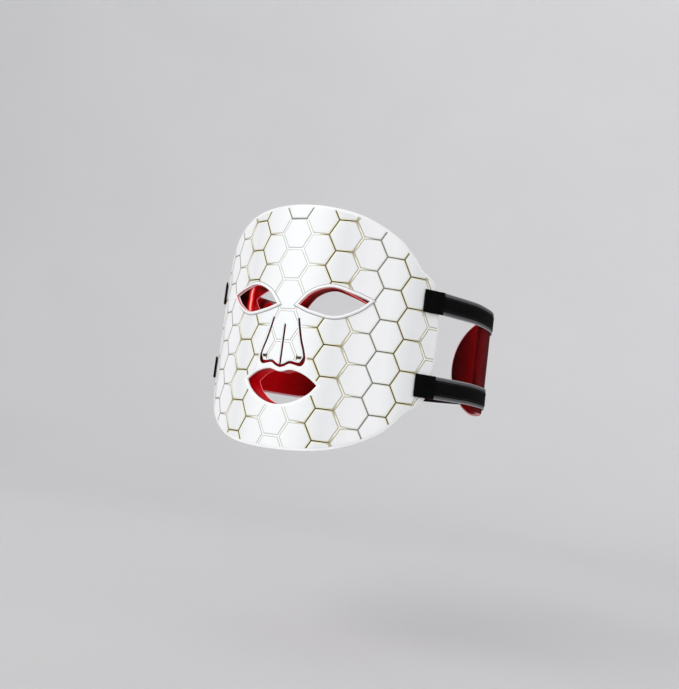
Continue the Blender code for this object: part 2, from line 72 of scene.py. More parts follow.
# The laminate, as depths from its front face in metres, and what stands on it
SKIN = 0.0016
LINER_TOP = 0.0036
LAMINATE = 0.0052
LIP = 0.0022
EDGE_ROUND = 0.0009
OPENING_ROUND = 0.0007
NOSE_LIP = 0.0012
NOSE_ROUND = 0.00025
BEZEL_WIDTH = 0.0030
BEZEL_HEIGHT = 0.0015
BEZEL_ROUND = 0.0008
BEZEL_FOOT = [(0.0006, -0.0005), (0.0003, -0.00035), (0.0, -0.0003), (0.0, 0.0002)]
SHIELD_WALL = 0.0014
SHIELD_TOP = 0.0004
SHIELD_ROUNDS = (0.0003, 0.0006)   # at its front and at its rear edge
SHIELD_INSET = 0.00005
EYE_SHIELD_DEPTH = 0.0180
MOUTH_SHIELD_DEPTH = 0.0145
NOSE_ROOT = 5.48                   # the row of the nose flaps' root
NOSE_BRIDGE_HALF = 1.72            # the plug that ties the skin to the flaps' root, in UNIT
NOSE_BRIDGE_HEIGHT = 0.0016
NOSE_SLIT = 0.0008
HAIRLINE = 0.00001                 # half the gap between the flaps above the slit
SLIT_TOP = 5.86                    # the row where the slit between the flaps starts
ROOT_HEIGHT = (MIDDLE_ROW - NOSE_ROOT) * ROW
SLIT_HEIGHT = (MIDDLE_ROW - SLIT_TOP) * ROW
SLIT_TAPER = 0.0015
FLAP_CLEARANCE = 0.0017
FLAP_BORDER = 0.0008               # plain skin round a flap's pattern
FLAP_MIDDLE = 0.0060               # from the slit to the middle of a flap's root
FLAP_EXTRA = 0.0020                # how far a flap is drawn past its root before it is cut there
FLAP_CORNER = (2.72, 8.25)         # its lower outer corner, in cells, where its edge is pulled in and up
FLAP_CORNER_REACH = 0.75
CORNER_PULL = (0.0011, 0.0013)
FLAP_FOOT = 7.9                    # the row below which its edge is lifted
FOOT_LIFT = 0.0005
FLAP_BEND = 0.0090                 # a length down from a flap's root
RED_BEHIND = -0.0003               # the nose's edges are painted red from here to the back, standing for the lamps' red light on them

# The honeycomb: shares of UNIT from a cell's edge, and heights above the skin in metres
TILE_BASE = 0.105
TILE_FOOT = 0.00010                # how far the cells reach into the skin
TILE_RINGS = ((TILE_BASE, -TILE_FOOT), (TILE_BASE, 0.00005), (0.175, 0.00020), (0.36, 0.00028))
CUT_MARGIN = 0.0010                # how far a cutter stands out of what it cuts
BAND_HEIGHT = 0.00005
CORE_HALF = 0.068                  # half the width of the line along the middle of each band
CORE_RISE = 0.00002
BORDER = 0.34 * UNIT               # plain skin round the mask's pattern
PLAIN_BELOW_NOSE = [(-3.4, 8.2), (3.4, 8.2), (3.4, 9.3), (-3.4, 9.3)]

# Straps and pads, in UNIT unless they are below 0.01, which is metres
PATCH = 0.0005
TAB = 0.0013
TAB_LIFT = 2 * GAP + PATCH         # from the skin to the tab
WEBBING = 0.0010
FACING = 0.0008
TAB_END = 15.9
PEEL_LINE = 17.7
STRAPS = {"upper": ((3.50, 6.15), 0.45), "lower": ((-6.27, -3.62), 0.28)}   # edges at the tab, and rise
RISE_LENGTH = 9.0
FACING_SETBACK = 0.45
STRAP_END = 20.5
PAD_FRONT = 11.0
PAD_CENTRE = (20.7, -0.2)
PAD_RADII = (5.9, 6.5)
PAD_CORNER = 1.6
PAD_LAYER = 0.0046
WELT_DEPTHS = (0.0013, 0.0036)
REAR_STRAP = (-5.25, -2.40)
REAR_STRAP_START = 22.0
BLACK_START = 0.0058               # the length of strap that is black from edge to edge
TAB_RAMP = 0.0050                  # where the tab thickens to meet the strap
TAB_RAISE = 0.00062
TAB_BEND = 0.0060                  # a length back from the peel line along the tab
TAB_HINGE = 0.0018                 # a height in front of the skin's face, at the tab's peel line

# The power inlet, in cells and in metres
BOSS = (16.5, 18.5)
BOSS_ROW = 6.25
BOSS_HALF_HEIGHT = 0.0085
BOSS_DEPTH = (LAMINATE + GAP, 0.0118)
SOCKET_HALF = (0.0045, 0.0016)
SOCKET_BACK = 17.6
SOCKET_DEPTH = 0.0087

# The lamps' places and the lenses over them
LAMP_ROOM = 0.0028
JUMPER_HALF_WIDTH = 0.0030
JUMPER_ROOM = 0.0025
LENS_SKIRT = 0.0043
LENS_RADIUS = 0.0022
LENS_HEIGHT = 0.00045
LENS_FOOT = 0.00003

# Stitches
STITCH_PITCH = 0.0032
STITCH_SHARE = 0.62                # of the pitch that is thread
STITCH_ARCH = 0.00022
THREAD_HALF = (0.00017, 0.00012)   # half a flattened thread's width and height
THREAD_SUNK = 0.00008
FACING_SEAM = 0.0011               # from the facing's edge to its seam

# The camera, in degrees and in UNIT
CAMERA_TURN = (29.75, -6.43, 7.46)   # yaw, pitch and roll
CAMERA_AIM = -8.0                    # the point that it turns about, on the line through the head's middle
CAMERA_DISTANCE = 106.4

# Looks
CLOTH_SHINE = 0.05
LENS_SHADE = (0.55, 0.01, 0.02)
WHITE = (1.0, 1.0, 1.0)
BLACK = (0.0, 0.0, 0.0)
ACROSS_REACH = 19.0                # the colours across the face run from its middle to here, in UNIT
SILVER_PLACE = 10.5                # where across the face the foil is silver
STREAK_SLOPE = 0.17                # how much shallower the painted highlight streak lies per UNIT from the corner

# Outlines, in cells: half of each one, from the middle to the wearer's left
MASK_EDGE = [
    (0, -1.94), (4.4, -1.78), (8.2, -1.33), (12.1, -0.32), (14.3, 0.71), (15.4, 1.41), (16.6, 1.82),
    (17.5, 2.25), (18.15, 3.4), (18.57, 5.0), (18.62, 6.4), (18.33, 7.9), (17.95, 9.1),
    (17.4, 9.75), (16.4, 10.17), (15.15, 10.65), (13.9, 11.42), (12.1, 12.25), (8.75, 13.16),
    (5.3, 13.65), (0, 13.85),
]
EYE_TOP = [(1.45, 4.60), (2.88, 3.79), (5.10, 3.37), (7.44, 3.62), (9.55, 3.98)]
EYE_BOTTOM = [(9.55, 3.98), (8.19, 4.62), (5.90, 5.15), (3.17, 4.94), (1.45, 4.60)]
MOUTH_TOP = [(0, 8.96), (1.49, 8.80), (3.23, 9.05), (4.77, 9.61)]
MOUTH_BOTTOM = [(4.77, 9.61), (3.83, 10.22), (2.12, 10.78), (0, 11.02)]
NOSE_SIDE = [(1.80, NOSE_ROOT), (2.10, 6.20), (2.45, 6.90), (2.85, 7.50), (3.08, 7.95)]
NOSE_CORNER = [(3.08, 7.95), (3.02, 8.28), (2.70, 8.50), (2.25, 8.52)]
NOSE_BASE = [(2.25, 8.52), (1.80, 8.46), (1.20, 8.42), (0.60, 8.60), (0, 8.70)]
FOREHEAD_BOARD = [
    (0, -1.3), (4.3, -1.15), (8.0, -0.72), (11.4, 0.15), (12.0, 1.3), (11.0, 2.5), (8.4, 3.0),
    (5.3, 2.8), (3.0, 3.05), (1.6, 3.8), (0, 4.35),
]
CHEEK_BOARD = [
    (11.4, 3.4), (13.0, 2.8), (14.8, 2.9), (15.7, 4.1), (15.9, 6.0), (15.7, 8.4), (14.8, 9.7),
    (12.6, 10.9), (9.8, 11.7), (7.4, 11.4), (6.4, 9.8), (5.0, 8.6), (3.9, 7.2), (3.6, 6.0),
    (6.4, 5.75), (9.0, 5.3), (10.6, 4.3),
]
CHIN_BOARD = [(0, 11.65), (2.6, 11.55), (4.9, 11.25), (6.0, 11.9), (5.6, 12.9), (3.0, 13.25), (0, 13.35)]
TEMPLE_JUMPER = ((11.1, 1.7), (12.9, 3.7))
JAW_JUMPER = ((4.9, 12.2), (7.9, 10.9))
STRAP_ROUTE = [
    (14.90, 8.43), (15.22, 9.08), (15.50, 10.50), (15.80, 12.30), (16.20, 14.60), (16.55, 17.40),
    (16.68, 20.40), (16.45, 23.40), (15.30, 26.70), (13.05, 29.35), (9.65, 31.05), (5.15, 32.05),
    (0, 32.35),
]


# Outlines

def through(points, pieces=3, closed=False):
    """A smooth curve through the points, with this many pieces between two of them."""
    knots = [Vector(p) for p in points]
    if closed:
        knots = [knots[-1]] + knots + knots[:2]
    times = [0.0]
    for a, b in zip(knots, knots[1:]):
        times.append(times[-1] + (b - a).length)
    slopes = [(knots[i + 1] - knots[i - 1]) / (times[i + 1] - times[i - 1]) for i in range(1, len(knots) - 1)]
    first = 1.5 * (knots[1] - knots[0]) / (times[1] - times[0]) - 0.5 * slopes[0]
    last = 1.5 * (knots[-1] - knots[-2]) / (times[-1] - times[-2]) - 0.5 * slopes[-1]
    slopes = [first] + slopes + [last]
    spans = range(1, len(knots) - 2) if closed else range(len(knots) - 1)
    curve = []
    for i in spans:
        length = times[i + 1] - times[i]
        for step in range(pieces):
            t = step / pieces
            curve.append(
                knots[i] * (2 * t ** 3 - 3 * t ** 2 + 1)
                + knots[i + 1] * (3 * t ** 2 - 2 * t ** 3)
                + slopes[i] * length * (t ** 3 - 2 * t ** 2 + t)
                + slopes[i + 1] * length * (t ** 3 - t ** 2)
            )
    if not closed:
        curve.append(knots[-1])
    return [tuple(p) for p in curve]


def mirrored(points):
    """The same points on the other side of the middle, in the opposite order."""
    return [(-x, y) for x, y in reversed(points)]


def both_halves(points):
    """A closed list of points from a half whose two ends lie on the middle."""
    return points + mirrored(points)[1:-1]


def anticlockwise(loop):
    area = sum(a[0] * b[1] - b[0] * a[1] for a, b in zip(loop, loop[1:] + loop[:1]))
    return loop if area > 0 else loop[::-1]


def row_height(row):
    """The height of a row, in metres."""
    return (MIDDLE_ROW - row) * ROW


def clamped(value):
    return min(1.0, max(0.0, value))


def metres(u, v):
    return (u * UNIT, row_height(v))


def flat(points):
    """Cells to metres, turned anticlockwise."""
    return anticlockwise([metres(u, v) for u, v in points])


def other_side(loop):
    return anticlockwise(mirrored(loop))


def grow(loop, distance):
    """The closed anticlockwise loop moved outwards by a distance, with its corners mitred."""
    moved = []
    for before, here, after in zip(loop[-1:] + loop[:-1], loop, loop[1:] + loop[:1]):
        one = (Vector(here) - Vector(before)).normalized()
        two = (Vector(after) - Vector(here)).normalized()
        mitre = Vector((one.y + two.y, -one.x - two.x)).normalized()
        stretch = 1.0 / max(0.5, mitre.dot(Vector((one.y, -one.x))))
        moved.append(tuple(Vector(here) + mitre * distance * stretch))
    return moved


def rectangle(low, high):
    """A closed loop from two opposite corners."""
    return anticlockwise([(low[0], low[1]), (high[0], low[1]), (high[0], high[1]), (low[0], high[1])])


def mask_outline():
    return flat(through(both_halves(MASK_EDGE), 8, closed=True))


def eye_outline():
    return flat(through(EYE_TOP, 10)[:-1] + through(EYE_BOTTOM, 10)[:-1])


def mouth_outline():
    top = through(mirrored(MOUTH_TOP)[:-1] + MOUTH_TOP, 8)
    bottom = through(MOUTH_BOTTOM + mirrored(MOUTH_BOTTOM)[1:], 8)
    return flat(top[:-1] + bottom[:-1])


def nose_outline():
    half = through(NOSE_SIDE, 5)[:-1] + through(NOSE_CORNER, 5)[:-1] + through(NOSE_BASE, 6)
    return flat(half + mirrored(half)[1:])


def inside(loop, point):
    """Whether the point is inside the closed loop."""
    crossings = 0
    for a, b in zip(loop, loop[1:] + loop[:1]):
        if (a[1] > point[1]) != (b[1] > point[1]):
            at = a[0] + (point[1] - a[1]) * (b[0] - a[0]) / (b[1] - a[1])
            crossings += at > point[0]
    return crossings % 2 == 1


# Routes: a table of distance, place and direction seen from above

def sheet_route():
    """The bent sheet of the mask, from its right edge to its left one."""
    steps = np.linspace(0.0, 21.0, 2101)
    q = (steps / BEND_REACH) ** 2
    angle = steps * (BEND[0] + BEND[1] * q / 3 + BEND[2] * q * q / 5)
    middle = (angle[1:] + angle[:-1]) / 2
    width = np.diff(steps)
    x = np.concatenate([[0.0], np.cumsum(np.cos(middle) * width)]) * UNIT
    y = np.concatenate([[0.0], np.cumsum(np.sin(middle) * width)]) * UNIT
    distance = steps * UNIT
    return {
        "distance": np.concatenate([-distance[:0:-1], distance]),
        "x": np.concatenate([-x[:0:-1], x]),
        "y": np.concatenate([y[:0:-1], y]) - FRONT_TO_HEAD,
        "angle": np.concatenate([-angle[:0:-1], angle]),
    }


def strap_route():
    """The inner face of the straps, from the left flap round the back to the right one."""
    points = np.array(through(STRAP_ROUTE + mirrored(STRAP_ROUTE)[1:], 24)) * UNIT
    steps = np.hypot(*np.diff(points, axis=0).T)
    slope = np.gradient(points, axis=0)
    return {
        "distance": np.concatenate([[0.0], np.cumsum(steps)]),
        "x": points[:, 0],
        "y": points[:, 1] - FRONT_TO_HEAD,
        "angle": np.unwrap(np.arctan2(slope[:, 1], slope[:, 0])),
    }


def carried(route, points):
    """Flat points, one in each row of an array, carried onto a route."""
    distance, height, depth = points[:, 0], points[:, 1], -points[:, 2]
    x = np.interp(distance, route["distance"], route["x"])
    y = np.interp(distance, route["distance"], route["y"])
    angle = np.interp(distance, route["distance"], route["angle"])
    return np.stack([x - np.sin(angle) * depth, y + np.cos(angle) * depth, height], axis=1)


def place(route, distance, height, depth=0.0):
    return Vector(carried(route, np.array([[distance, height, -depth]]))[0])


# Solids

def quarter(radius, steps=4):
    """A quarter round from a front face to a side, as (inset, depth) pairs."""
    turns = [math.pi / 2 * i / steps for i in range(steps + 1)]
    return [(radius * (1 - math.sin(a)), radius * (1 - math.cos(a))) for a in turns]


def rounded(shallow, deep, radius, steps=4, back_radius=None):
    """The profile of a slab with rounded edges, as (inset, depth) from its front face to its back one."""
    front = [(inset, shallow + depth) for inset, depth in quarter(radius, steps)]
    back = [(inset, deep - depth) for inset, depth in reversed(quarter(back_radius or radius, steps))]
    return front + back


def joined(solid, rings):
    """Faces from each ring of vertices to the next one, as one list for each step."""
    levels = []
    for one, two in zip(rings, rings[1:]):
        corners = zip(one, one[1:] + one[:1], two[1:] + two[:1], two)
        levels.append([solid.faces.new(four) for four in corners])
    return levels


def stacked(solid, rings):
    """A closed body through rings of points; gives its side faces, as one list for each step."""
    rings = [[solid.verts.new(point) for point in ring] for ring in rings]
    levels = joined(solid, rings)
    solid.faces.new(rings[0][::-1])
    solid.faces.new(rings[-1])
    return levels


def outward(solid):
    """The solid with every face turned outwards."""
    bmesh.ops.recalc_face_normals(solid, faces=solid.faces[:])
    return solid


def lofted(rims):
    """A flat closed solid from (outline, profile) pairs, the outer one first and then its holes.

    A profile goes from the front face to the back one as (inset into the material, depth).
    """
    solid = bmesh.new()
    ends = []
    for index, (loop, profile) in enumerate(rims):
        outwards = 1 if index else -1
        rings = [
            [solid.verts.new((x, y, -depth)) for x, y in grow(loop, outwards * inset)]
            for inset, depth in profile
        ]
        joined(solid, rings)
        ends.append((rings[0], rings[-1]))
    for rings in zip(*ends):
        corners = [vertex for ring in rings for vertex in ring]
        for triangle in tessellate_polygon([[v.co for v in ring] for ring in rings]):
            solid.faces.new([corners[i] for i in triangle])
    return outward(solid)


def slab(loop, shallow, deep):
    """A flat solid with square edges."""
    return lofted([(loop, [(0.0, shallow), (0.0, deep)])])


def added(name, data):
    """A new object in the scene."""
    thing = bpy.data.objects.new(name, data)
    bpy.context.scene.collection.objects.link(thing)
    return thing


def combined(solid, other, operation):
    """The solid joined with the other, or cut by it, with an exact Boolean."""
    meshes = []
    for source in (solid, other):
        mesh = bpy.data.meshes.new("work")
        source.to_mesh(mesh)
        for slot in range(4):
            mesh.materials.append(None)
        meshes.append(mesh)
    work = added("work", meshes[0])
    tool = added("tool", meshes[1])
    cut = work.modifiers.new("cut", "BOOLEAN")
    cut.operation = operation
    cut.solver = "EXACT"
    cut.object = tool
    bpy.context.view_layer.update()
    made = bpy.data.meshes.new_from_object(work.evaluated_get(bpy.context.evaluated_depsgraph_get()))
    result = bmesh.new()
    result.from_mesh(made)
    for thing in (work, tool):
        bpy.data.objects.remove(thing, do_unlink=True)
    for mesh in meshes + [made]:
        bpy.data.meshes.remove(mesh)
    return result


def cut_along(solid, where, normal, **how):
    """The flat solid's faces cut where a plane meets them."""
    everything = solid.verts[:] + solid.edges[:] + solid.faces[:]
    bmesh.ops.bisect_plane(solid, geom=everything, dist=1e-6, plane_co=where, plane_no=normal, **how)


def cut_above(solid, height):
    """The flat solid below a height, closed by a flat face."""
    cut_along(solid, (0, height, 0), (0, 1, 0), clear_outer=True)
    bmesh.ops.holes_fill(solid, edges=[e for e in solid.edges if e.is_boundary])
    return solid


def picked(solid, paint_of):
    """The solid whose faces have the paint, by its number, that their centres pick."""
    for face in solid.faces:
        face.material_index = int(paint_of(face.calc_center_median()))
    return solid


def vectors(items, field):
    """One vector for each item, as the rows of an array."""
    values = np.zeros(len(items) * 3, np.float32)
    items.foreach_get(field, values)
    return values.reshape(-1, 3).astype(float)


def note(mesh, name, values):
    """Keeps one vector for each vertex, for the materials to read."""
    kept = mesh.attributes.new(name, "FLOAT_VECTOR", "POINT")
    kept.data.foreach_set("vector", values.astype(np.float32).ravel())


def finished(name, solid, route, paints, step=0.4, sharp=50.0):
    """The flat solid cut at even steps, carried onto its route, painted and put in the scene."""
    low = min(v.co.x for v in solid.verts)
    high = max(v.co.x for v in solid.verts)
    pitch = step * UNIT
    for i in range(math.floor(low / pitch) + 1, math.ceil(high / pitch)):
        cut_along(solid, (i * pitch, 0, 0), (1, 0, 0))
    mesh = bpy.data.meshes.new(name)
    solid.to_mesh(mesh)
    solid.free()
    points = vectors(mesh.vertices, "co")
    note(mesh, "flat", points)
    mesh.vertices.foreach_set("co", carried(route, points).astype(np.float32).ravel())
    mesh.shade_smooth()
    mesh.set_sharp_from_angle(angle=math.radians(sharp))
    for paint in paints:
        mesh.materials.append(materials[paint])
    piece = added(name, mesh)
    piece.modifiers.new("even_shading", "WEIGHTED_NORMAL").keep_sharp = True
    return piece


def placed(piece, slot_name, *nodes):
    """The piece rides on the mask's body and stands for its CAD nodes."""
    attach(piece, "mask")
    if nodes:
        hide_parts(*nodes)
    return piece


def applied(piece):
    """The piece with its modifiers baked into its mesh."""
    mesh = bpy.data.meshes.new_from_object(piece.evaluated_get(bpy.context.evaluated_depsgraph_get()))
    piece.modifiers.clear()
    piece.data = mesh
    return piece


# Materials

def srgb(red, green, blue):
    """A colour as seen, made linear."""
    linear = [c / 12.92 if c <= 0.04045 else ((c + 0.055) / 1.055) ** 2.4 for c in (red, green, blue)]
    return (*linear, 1.0)


class Paint:
    """A Principled material, and the nodes that feed it. Its ramps take colours as seen."""

    def __init__(self, name, **plain):
        self.material = bpy.data.materials.new(name)
        self.material.use_nodes = True
        self.nodes = self.material.node_tree.nodes
        self.links = self.material.node_tree.links
        self.shader = self.nodes["Principled BSDF"]
        for socket, value in plain.items():
            self.shader.inputs[socket.replace("_", " ").title().replace("Ior", "IOR")].default_value = value

    def node(self, kind, **settings):
        made = self.nodes.new("ShaderNode" + kind)
        for name, value in settings.items():
            setattr(made, name, value)
        return made

    def feed(self, made, *sources):
        """Links the sources to a node's first sockets, or sets them where a source is a number."""
        for socket, source in zip(made.inputs, sources):
            if isinstance(source, (int, float)):
                socket.default_value = source
            else:
                self.links.new(source, socket)

    def math(self, operation, first, second=0.0, clamp=False):
        made = self.node("Math", operation=operation, use_clamp=clamp)
        self.feed(made, first, second)
        return made.outputs[0]

    def near(self, value, target, reach):
        """1 where the value lies within reach of the target, and 0 elsewhere."""
        made = self.node("Math", operation="COMPARE")
        self.feed(made, value, target, reach)
        return made.outputs[0]

    def axes(self, attribute="flat"):
        """The parts of a point attribute; flat is the point before it was carried onto its route."""
        made = self.node("SeparateXYZ")
        self.feed(made, self.node("Attribute", attribute_name=attribute).outputs["Vector"])
        return made.outputs

    def across(self):
        """How far the point lies from the mask's middle, in UNIT."""
        return self.math("ABSOLUTE", self.math("DIVIDE", self.axes()["X"], UNIT))

    def noise(self, scale, detail=3.0):
        made = self.node("TexNoise")
        made.inputs["Scale"].default_value = scale
        made.inputs["Detail"].default_value = detail
        made.inputs["Roughness"].default_value = 0.6
        self.feed(made, self.node("TexCoord").outputs["Object"])
        return made.outputs["Fac"]

    def loops(self, scale):
        """Small round loops of yarn."""
        made = self.node("TexVoronoi")
        made.inputs["Scale"].default_value = scale
        self.feed(made, self.node("TexCoord").outputs["Object"])
        return made.outputs["Distance"]

    def wavered(self, value, cloud, reach):
        """The value, moved up and down by a cloud of noise."""
        return self.math("ADD", value, self.math("MULTIPLY", self.math("SUBTRACT", cloud, 0.5), reach))

    def ramp(self, factor, stops, span=1.0):
        """Colours along a factor that runs from 0 to span, from (place, colour) pairs."""
        made = self.node("ValToRGB")
        elements = made.color_ramp.elements
        while len(elements) < len(stops):
            elements.new(0.5)
        for element, (where, color) in zip(elements, stops):
            element.position = where / span
            element.color = srgb(*color)
        self.feed(made, factor if span == 1.0 else self.math("DIVIDE", factor, span))
        return made.outputs["Color"]

    def color(self, source, socket="Base Color"):
        self.links.new(source, self.shader.inputs[socket])

    def mixed(self, share, first, second):
        """Two colours mixed, with this share of the second one."""
        made = self.node("Mix", data_type="RGBA")
        for socket, source in ((0, share), (6, first), (7, second)):
            self.links.new(source, made.inputs[socket])
        return made.outputs[2]

    def roughness(self, factor, low, high):
        """Roughness spread over a range by a factor from 0 to 1."""
        made = self.node("MapRange")
        made.inputs["To Min"].default_value = low
        made.inputs["To Max"].default_value = high
        self.feed(made, factor)
        self.color(made.outputs["Result"], "Roughness")

    def bump(self, height, distance, strength=1.0):
        made = self.node("Bump")
        made.inputs["Distance"].default_value = distance
        made.inputs["Strength"].default_value = strength
        self.links.new(height, made.inputs["Height"])
        self.color(made.outputs["Normal"], "Normal")


def mottled(name, low, high, scale, detail=3.0, **plain):
    """A paint whose colour drifts between two, in clouds."""
    paint = Paint(name, **plain)
    paint.color(paint.ramp(paint.noise(scale, detail), [(0.3, low), (0.7, high)]))
    return paint


def white_silicone():
    """Bright satin silicone with the faint orange peel of a moulded skin."""
    low, high = (0.935, 0.937, 0.935), (0.96, 0.962, 0.96)
    paint = mottled("white_silicone", low, high, 45.0, coat_weight=0.25, coat_roughness=0.2)
    grain = paint.noise(900.0, 2.0)
    paint.roughness(grain, 0.30, 0.40)
    paint.bump(grain, 0.00002)
    return paint.material


def tinted_silicone(name, color):
    """White silicone where it is thin, with the red behind it showing through, or a little darker as painted
    shade.
    """
    return mottled(name, [0.97 * c for c in color], color, 80.0, 2.0, roughness=0.4).material


def pearl_tile():
    """The raised cells, a little greyer in two bands down each side of the face."""
    paint = Paint("pearl_tile", coat_weight=0.35, coat_roughness=0.15)
    paint.color(paint.ramp(paint.across(), [
        (0.0, (0.945, 0.955, 0.955)), (3.0, (0.935, 0.94, 0.94)), (6.0, (0.895, 0.90, 0.905)),
        (9.0, (0.95, 0.95, 0.955)), (12.0, (0.965, 0.968, 0.97)), (15.0, (0.915, 0.92, 0.925)),
        (18.0, (0.96, 0.96, 0.96)),
    ], ACROSS_REACH))
    grain = paint.noise(700.0, 2.0)
    paint.roughness(grain, 0.26, 0.36)
    paint.bump(grain, 0.000015)
    return paint.material


def foil(name, stops):
    """Metallic foil whose colour changes across the face; silver at the top, and dark by the nostrils."""
    paint = Paint(name, metallic=0.15)
    across = paint.across()
    height = paint.axes()["Y"]
    top = paint.math("GREATER_THAN", height, row_height(-0.94))
    top = paint.math("MULTIPLY", top, paint.math("LESS_THAN", across, 3.0))
    nostril = paint.near(height, row_height(8.0), 0.2 * ROW)
    nostril = paint.math("MULTIPLY", nostril, paint.near(across, 2.5, 0.55))
    across = paint.math("MAXIMUM", across, paint.math("MULTIPLY", top, SILVER_PLACE))
    across = paint.math("MAXIMUM", across, paint.math("MULTIPLY", nostril, ACROSS_REACH))
    paint.color(paint.ramp(across, stops, ACROSS_REACH))
    paint.roughness(paint.noise(500.0), 0.25, 0.45)
    return paint.material


def line_foil():
    """The thin line along each cell's edge, dark where the middle line is pale."""
    return foil("line_foil", [
        (0.0, (0.66, 0.665, 0.65)), (2.6, (0.66, 0.66, 0.61)), (3.6, (0.80, 0.77, 0.62)),
        (4.4, (0.92, 0.90, 0.77)), (6.2, (0.92, 0.90, 0.77)), (7.0, (0.62, 0.57, 0.34)),
        (7.6, (0.48, 0.43, 0.20)), (8.3, (0.60, 0.58, 0.44)), (9.0, (0.88, 0.88, 0.84)),
        (10.5, (0.92, 0.92, 0.90)), (12.0, (0.92, 0.92, 0.88)), (13.0, (0.92, 0.90, 0.79)),
        (15.0, (0.92, 0.90, 0.77)), (15.9, (0.66, 0.63, 0.45)), (16.5, (0.50, 0.47, 0.27)),
        (18.8, (0.56, 0.53, 0.36)), (19.0, (0.34, 0.28, 0.17)),
    ])


def band_foil():
    """The floor between two cells."""
    return foil("band_foil", [
        (0.0, (0.97, 0.97, 0.97)), (2.6, (0.96, 0.96, 0.94)), (4.4, (0.90, 0.88, 0.75)),
        (6.2, (0.90, 0.88, 0.75)), (7.5, (0.97, 0.96, 0.90)), (9.0, (0.93, 0.93, 0.91)),
        (12.0, (0.93, 0.93, 0.91)), (13.0, (0.91, 0.89, 0.79)), (15.0, (0.90, 0.88, 0.75)),
        (16.4, (0.97, 0.97, 0.93)), (18.8, (0.97, 0.97, 0.94)), (19.0, (0.26, 0.20, 0.11)),
    ])


def core_foil():
    """The line along the middle of each band, which fades out where the cells' own edges are dark."""
    return foil("core_foil", [
        (0.0, (0.97, 0.97, 0.97)), (2.6, (0.95, 0.95, 0.93)), (3.5, (0.46, 0.43, 0.29)),
        (4.3, (0.16, 0.14, 0.05)), (6.2, (0.11, 0.09, 0.03)), (7.0, (0.46, 0.43, 0.29)),
        (7.5, (0.97, 0.96, 0.89)), (8.3, (0.94, 0.93, 0.89)), (9.0, (0.50, 0.50, 0.46)),
        (10.5, (0.40, 0.40, 0.37)), (12.0, (0.40, 0.40, 0.35)), (13.0, (0.26, 0.25, 0.16)),
        (15.0, (0.18, 0.16, 0.07)), (15.9, (0.48, 0.46, 0.33)), (16.4, (0.97, 0.97, 0.92)),
        (18.8, (0.97, 0.97, 0.93)), (19.0, (0.22, 0.17, 0.09)),
    ])


def red_silicone(name, reach, front, deep, painted_corner_shade_and_streak=False):
    """Red silicone of a shield this deep whose colour changes with depth as painted light and shade (darker
    inside the eyes), with a faint painted glow all over and a thin pale rear edge painted as light coming
    through.

    With the corner option the outer corner is painted nearly black as shade, apart from an upright painted
    highlight streak that stands for the lamps' light.
    """
    paint = Paint(name, emission_strength=1.0, ior=1.06)
    depth = paint.math("DIVIDE", paint.axes()["Z"], -reach)
    depth = paint.wavered(depth, paint.noise(60.0, 2.0), 0.03)
    # The emission is painted glow: faint red all over, and pink at the thin rear edge.
    glow = [0.28 * c for c in front]
    deep_glow = [0.28 * c for c in deep]
    places = (0.0, 0.22, 0.55, 0.915, 0.935)
    # The colour by depth is painted light and shade of the wall; the pale rear edge is painted light.
    tone = paint.ramp(depth, list(zip(places, (front, front, deep, deep, (0.95, 0.50, 0.53)))))
    light = paint.ramp(depth, list(zip(places, (glow, glow, deep_glow, deep_glow, (0.50, 0.16, 0.18)))))
    if painted_corner_shade_and_streak:
        to_corner = paint.math("SUBTRACT", EYE_TOP[-1][0], paint.across())
        share = paint.ramp(to_corner, [(0.0, WHITE), (2.2, WHITE), (3.4, BLACK)], 4.0)
        upright = paint.math("ADD", depth, paint.math("MULTIPLY", to_corner, STREAK_SLOPE))
        # Painted shade: the outer corner nearly black, turning red past the streak.
        dark = paint.ramp(upright, [
            (0.0, (0.12, 0.0, 0.004)), (0.48, (0.20, 0.0, 0.008)), (0.60, (0.62, 0.0, 0.03)),
            (0.95, (0.70, 0.0, 0.04)),
        ])
        # Painted highlight: an upright pink-white streak of emission across the corner's walls.
        streak = paint.ramp(upright, [
            (0.0, (0.03, 0.0, 0.0)), (0.54, (0.06, 0.0, 0.0)), (0.63, (0.80, 0.16, 0.17)),
            (0.68, (1.0, 0.78, 0.76)), (0.74, (0.82, 0.14, 0.15)), (0.84, (0.22, 0.0, 0.0)),
        ])
        in_front = paint.math("SUBTRACT", 1.0, paint.math("GREATER_THAN", depth, 0.925))
        share = paint.math("MULTIPLY", share, in_front)
        tone = paint.mixed(share, tone, dark)
        light = paint.mixed(share, light, streak)
    paint.color(tone)
    paint.color(light, "Emission Color")
    paint.roughness(paint.noise(300.0), 0.28, 0.40)
    return paint.material


def liner_silicone():
    """The translucent liner where no lamp stands close behind it, with a faint red emission that is painted
    glow of the lamps' light spreading through it.
    """
    glow = {"emission_color": srgb(0.4, 0.0, 0.0), "emission_strength": 0.35}
    paint = mottled(
        "liner_silicone", (0.50, 0.01, 0.02), LENS_SHADE, 40.0, coat_weight=0.4, coat_roughness=0.12, **glow
    )
    paint.roughness(paint.noise(350.0), 0.24, 0.38)
    return paint.material


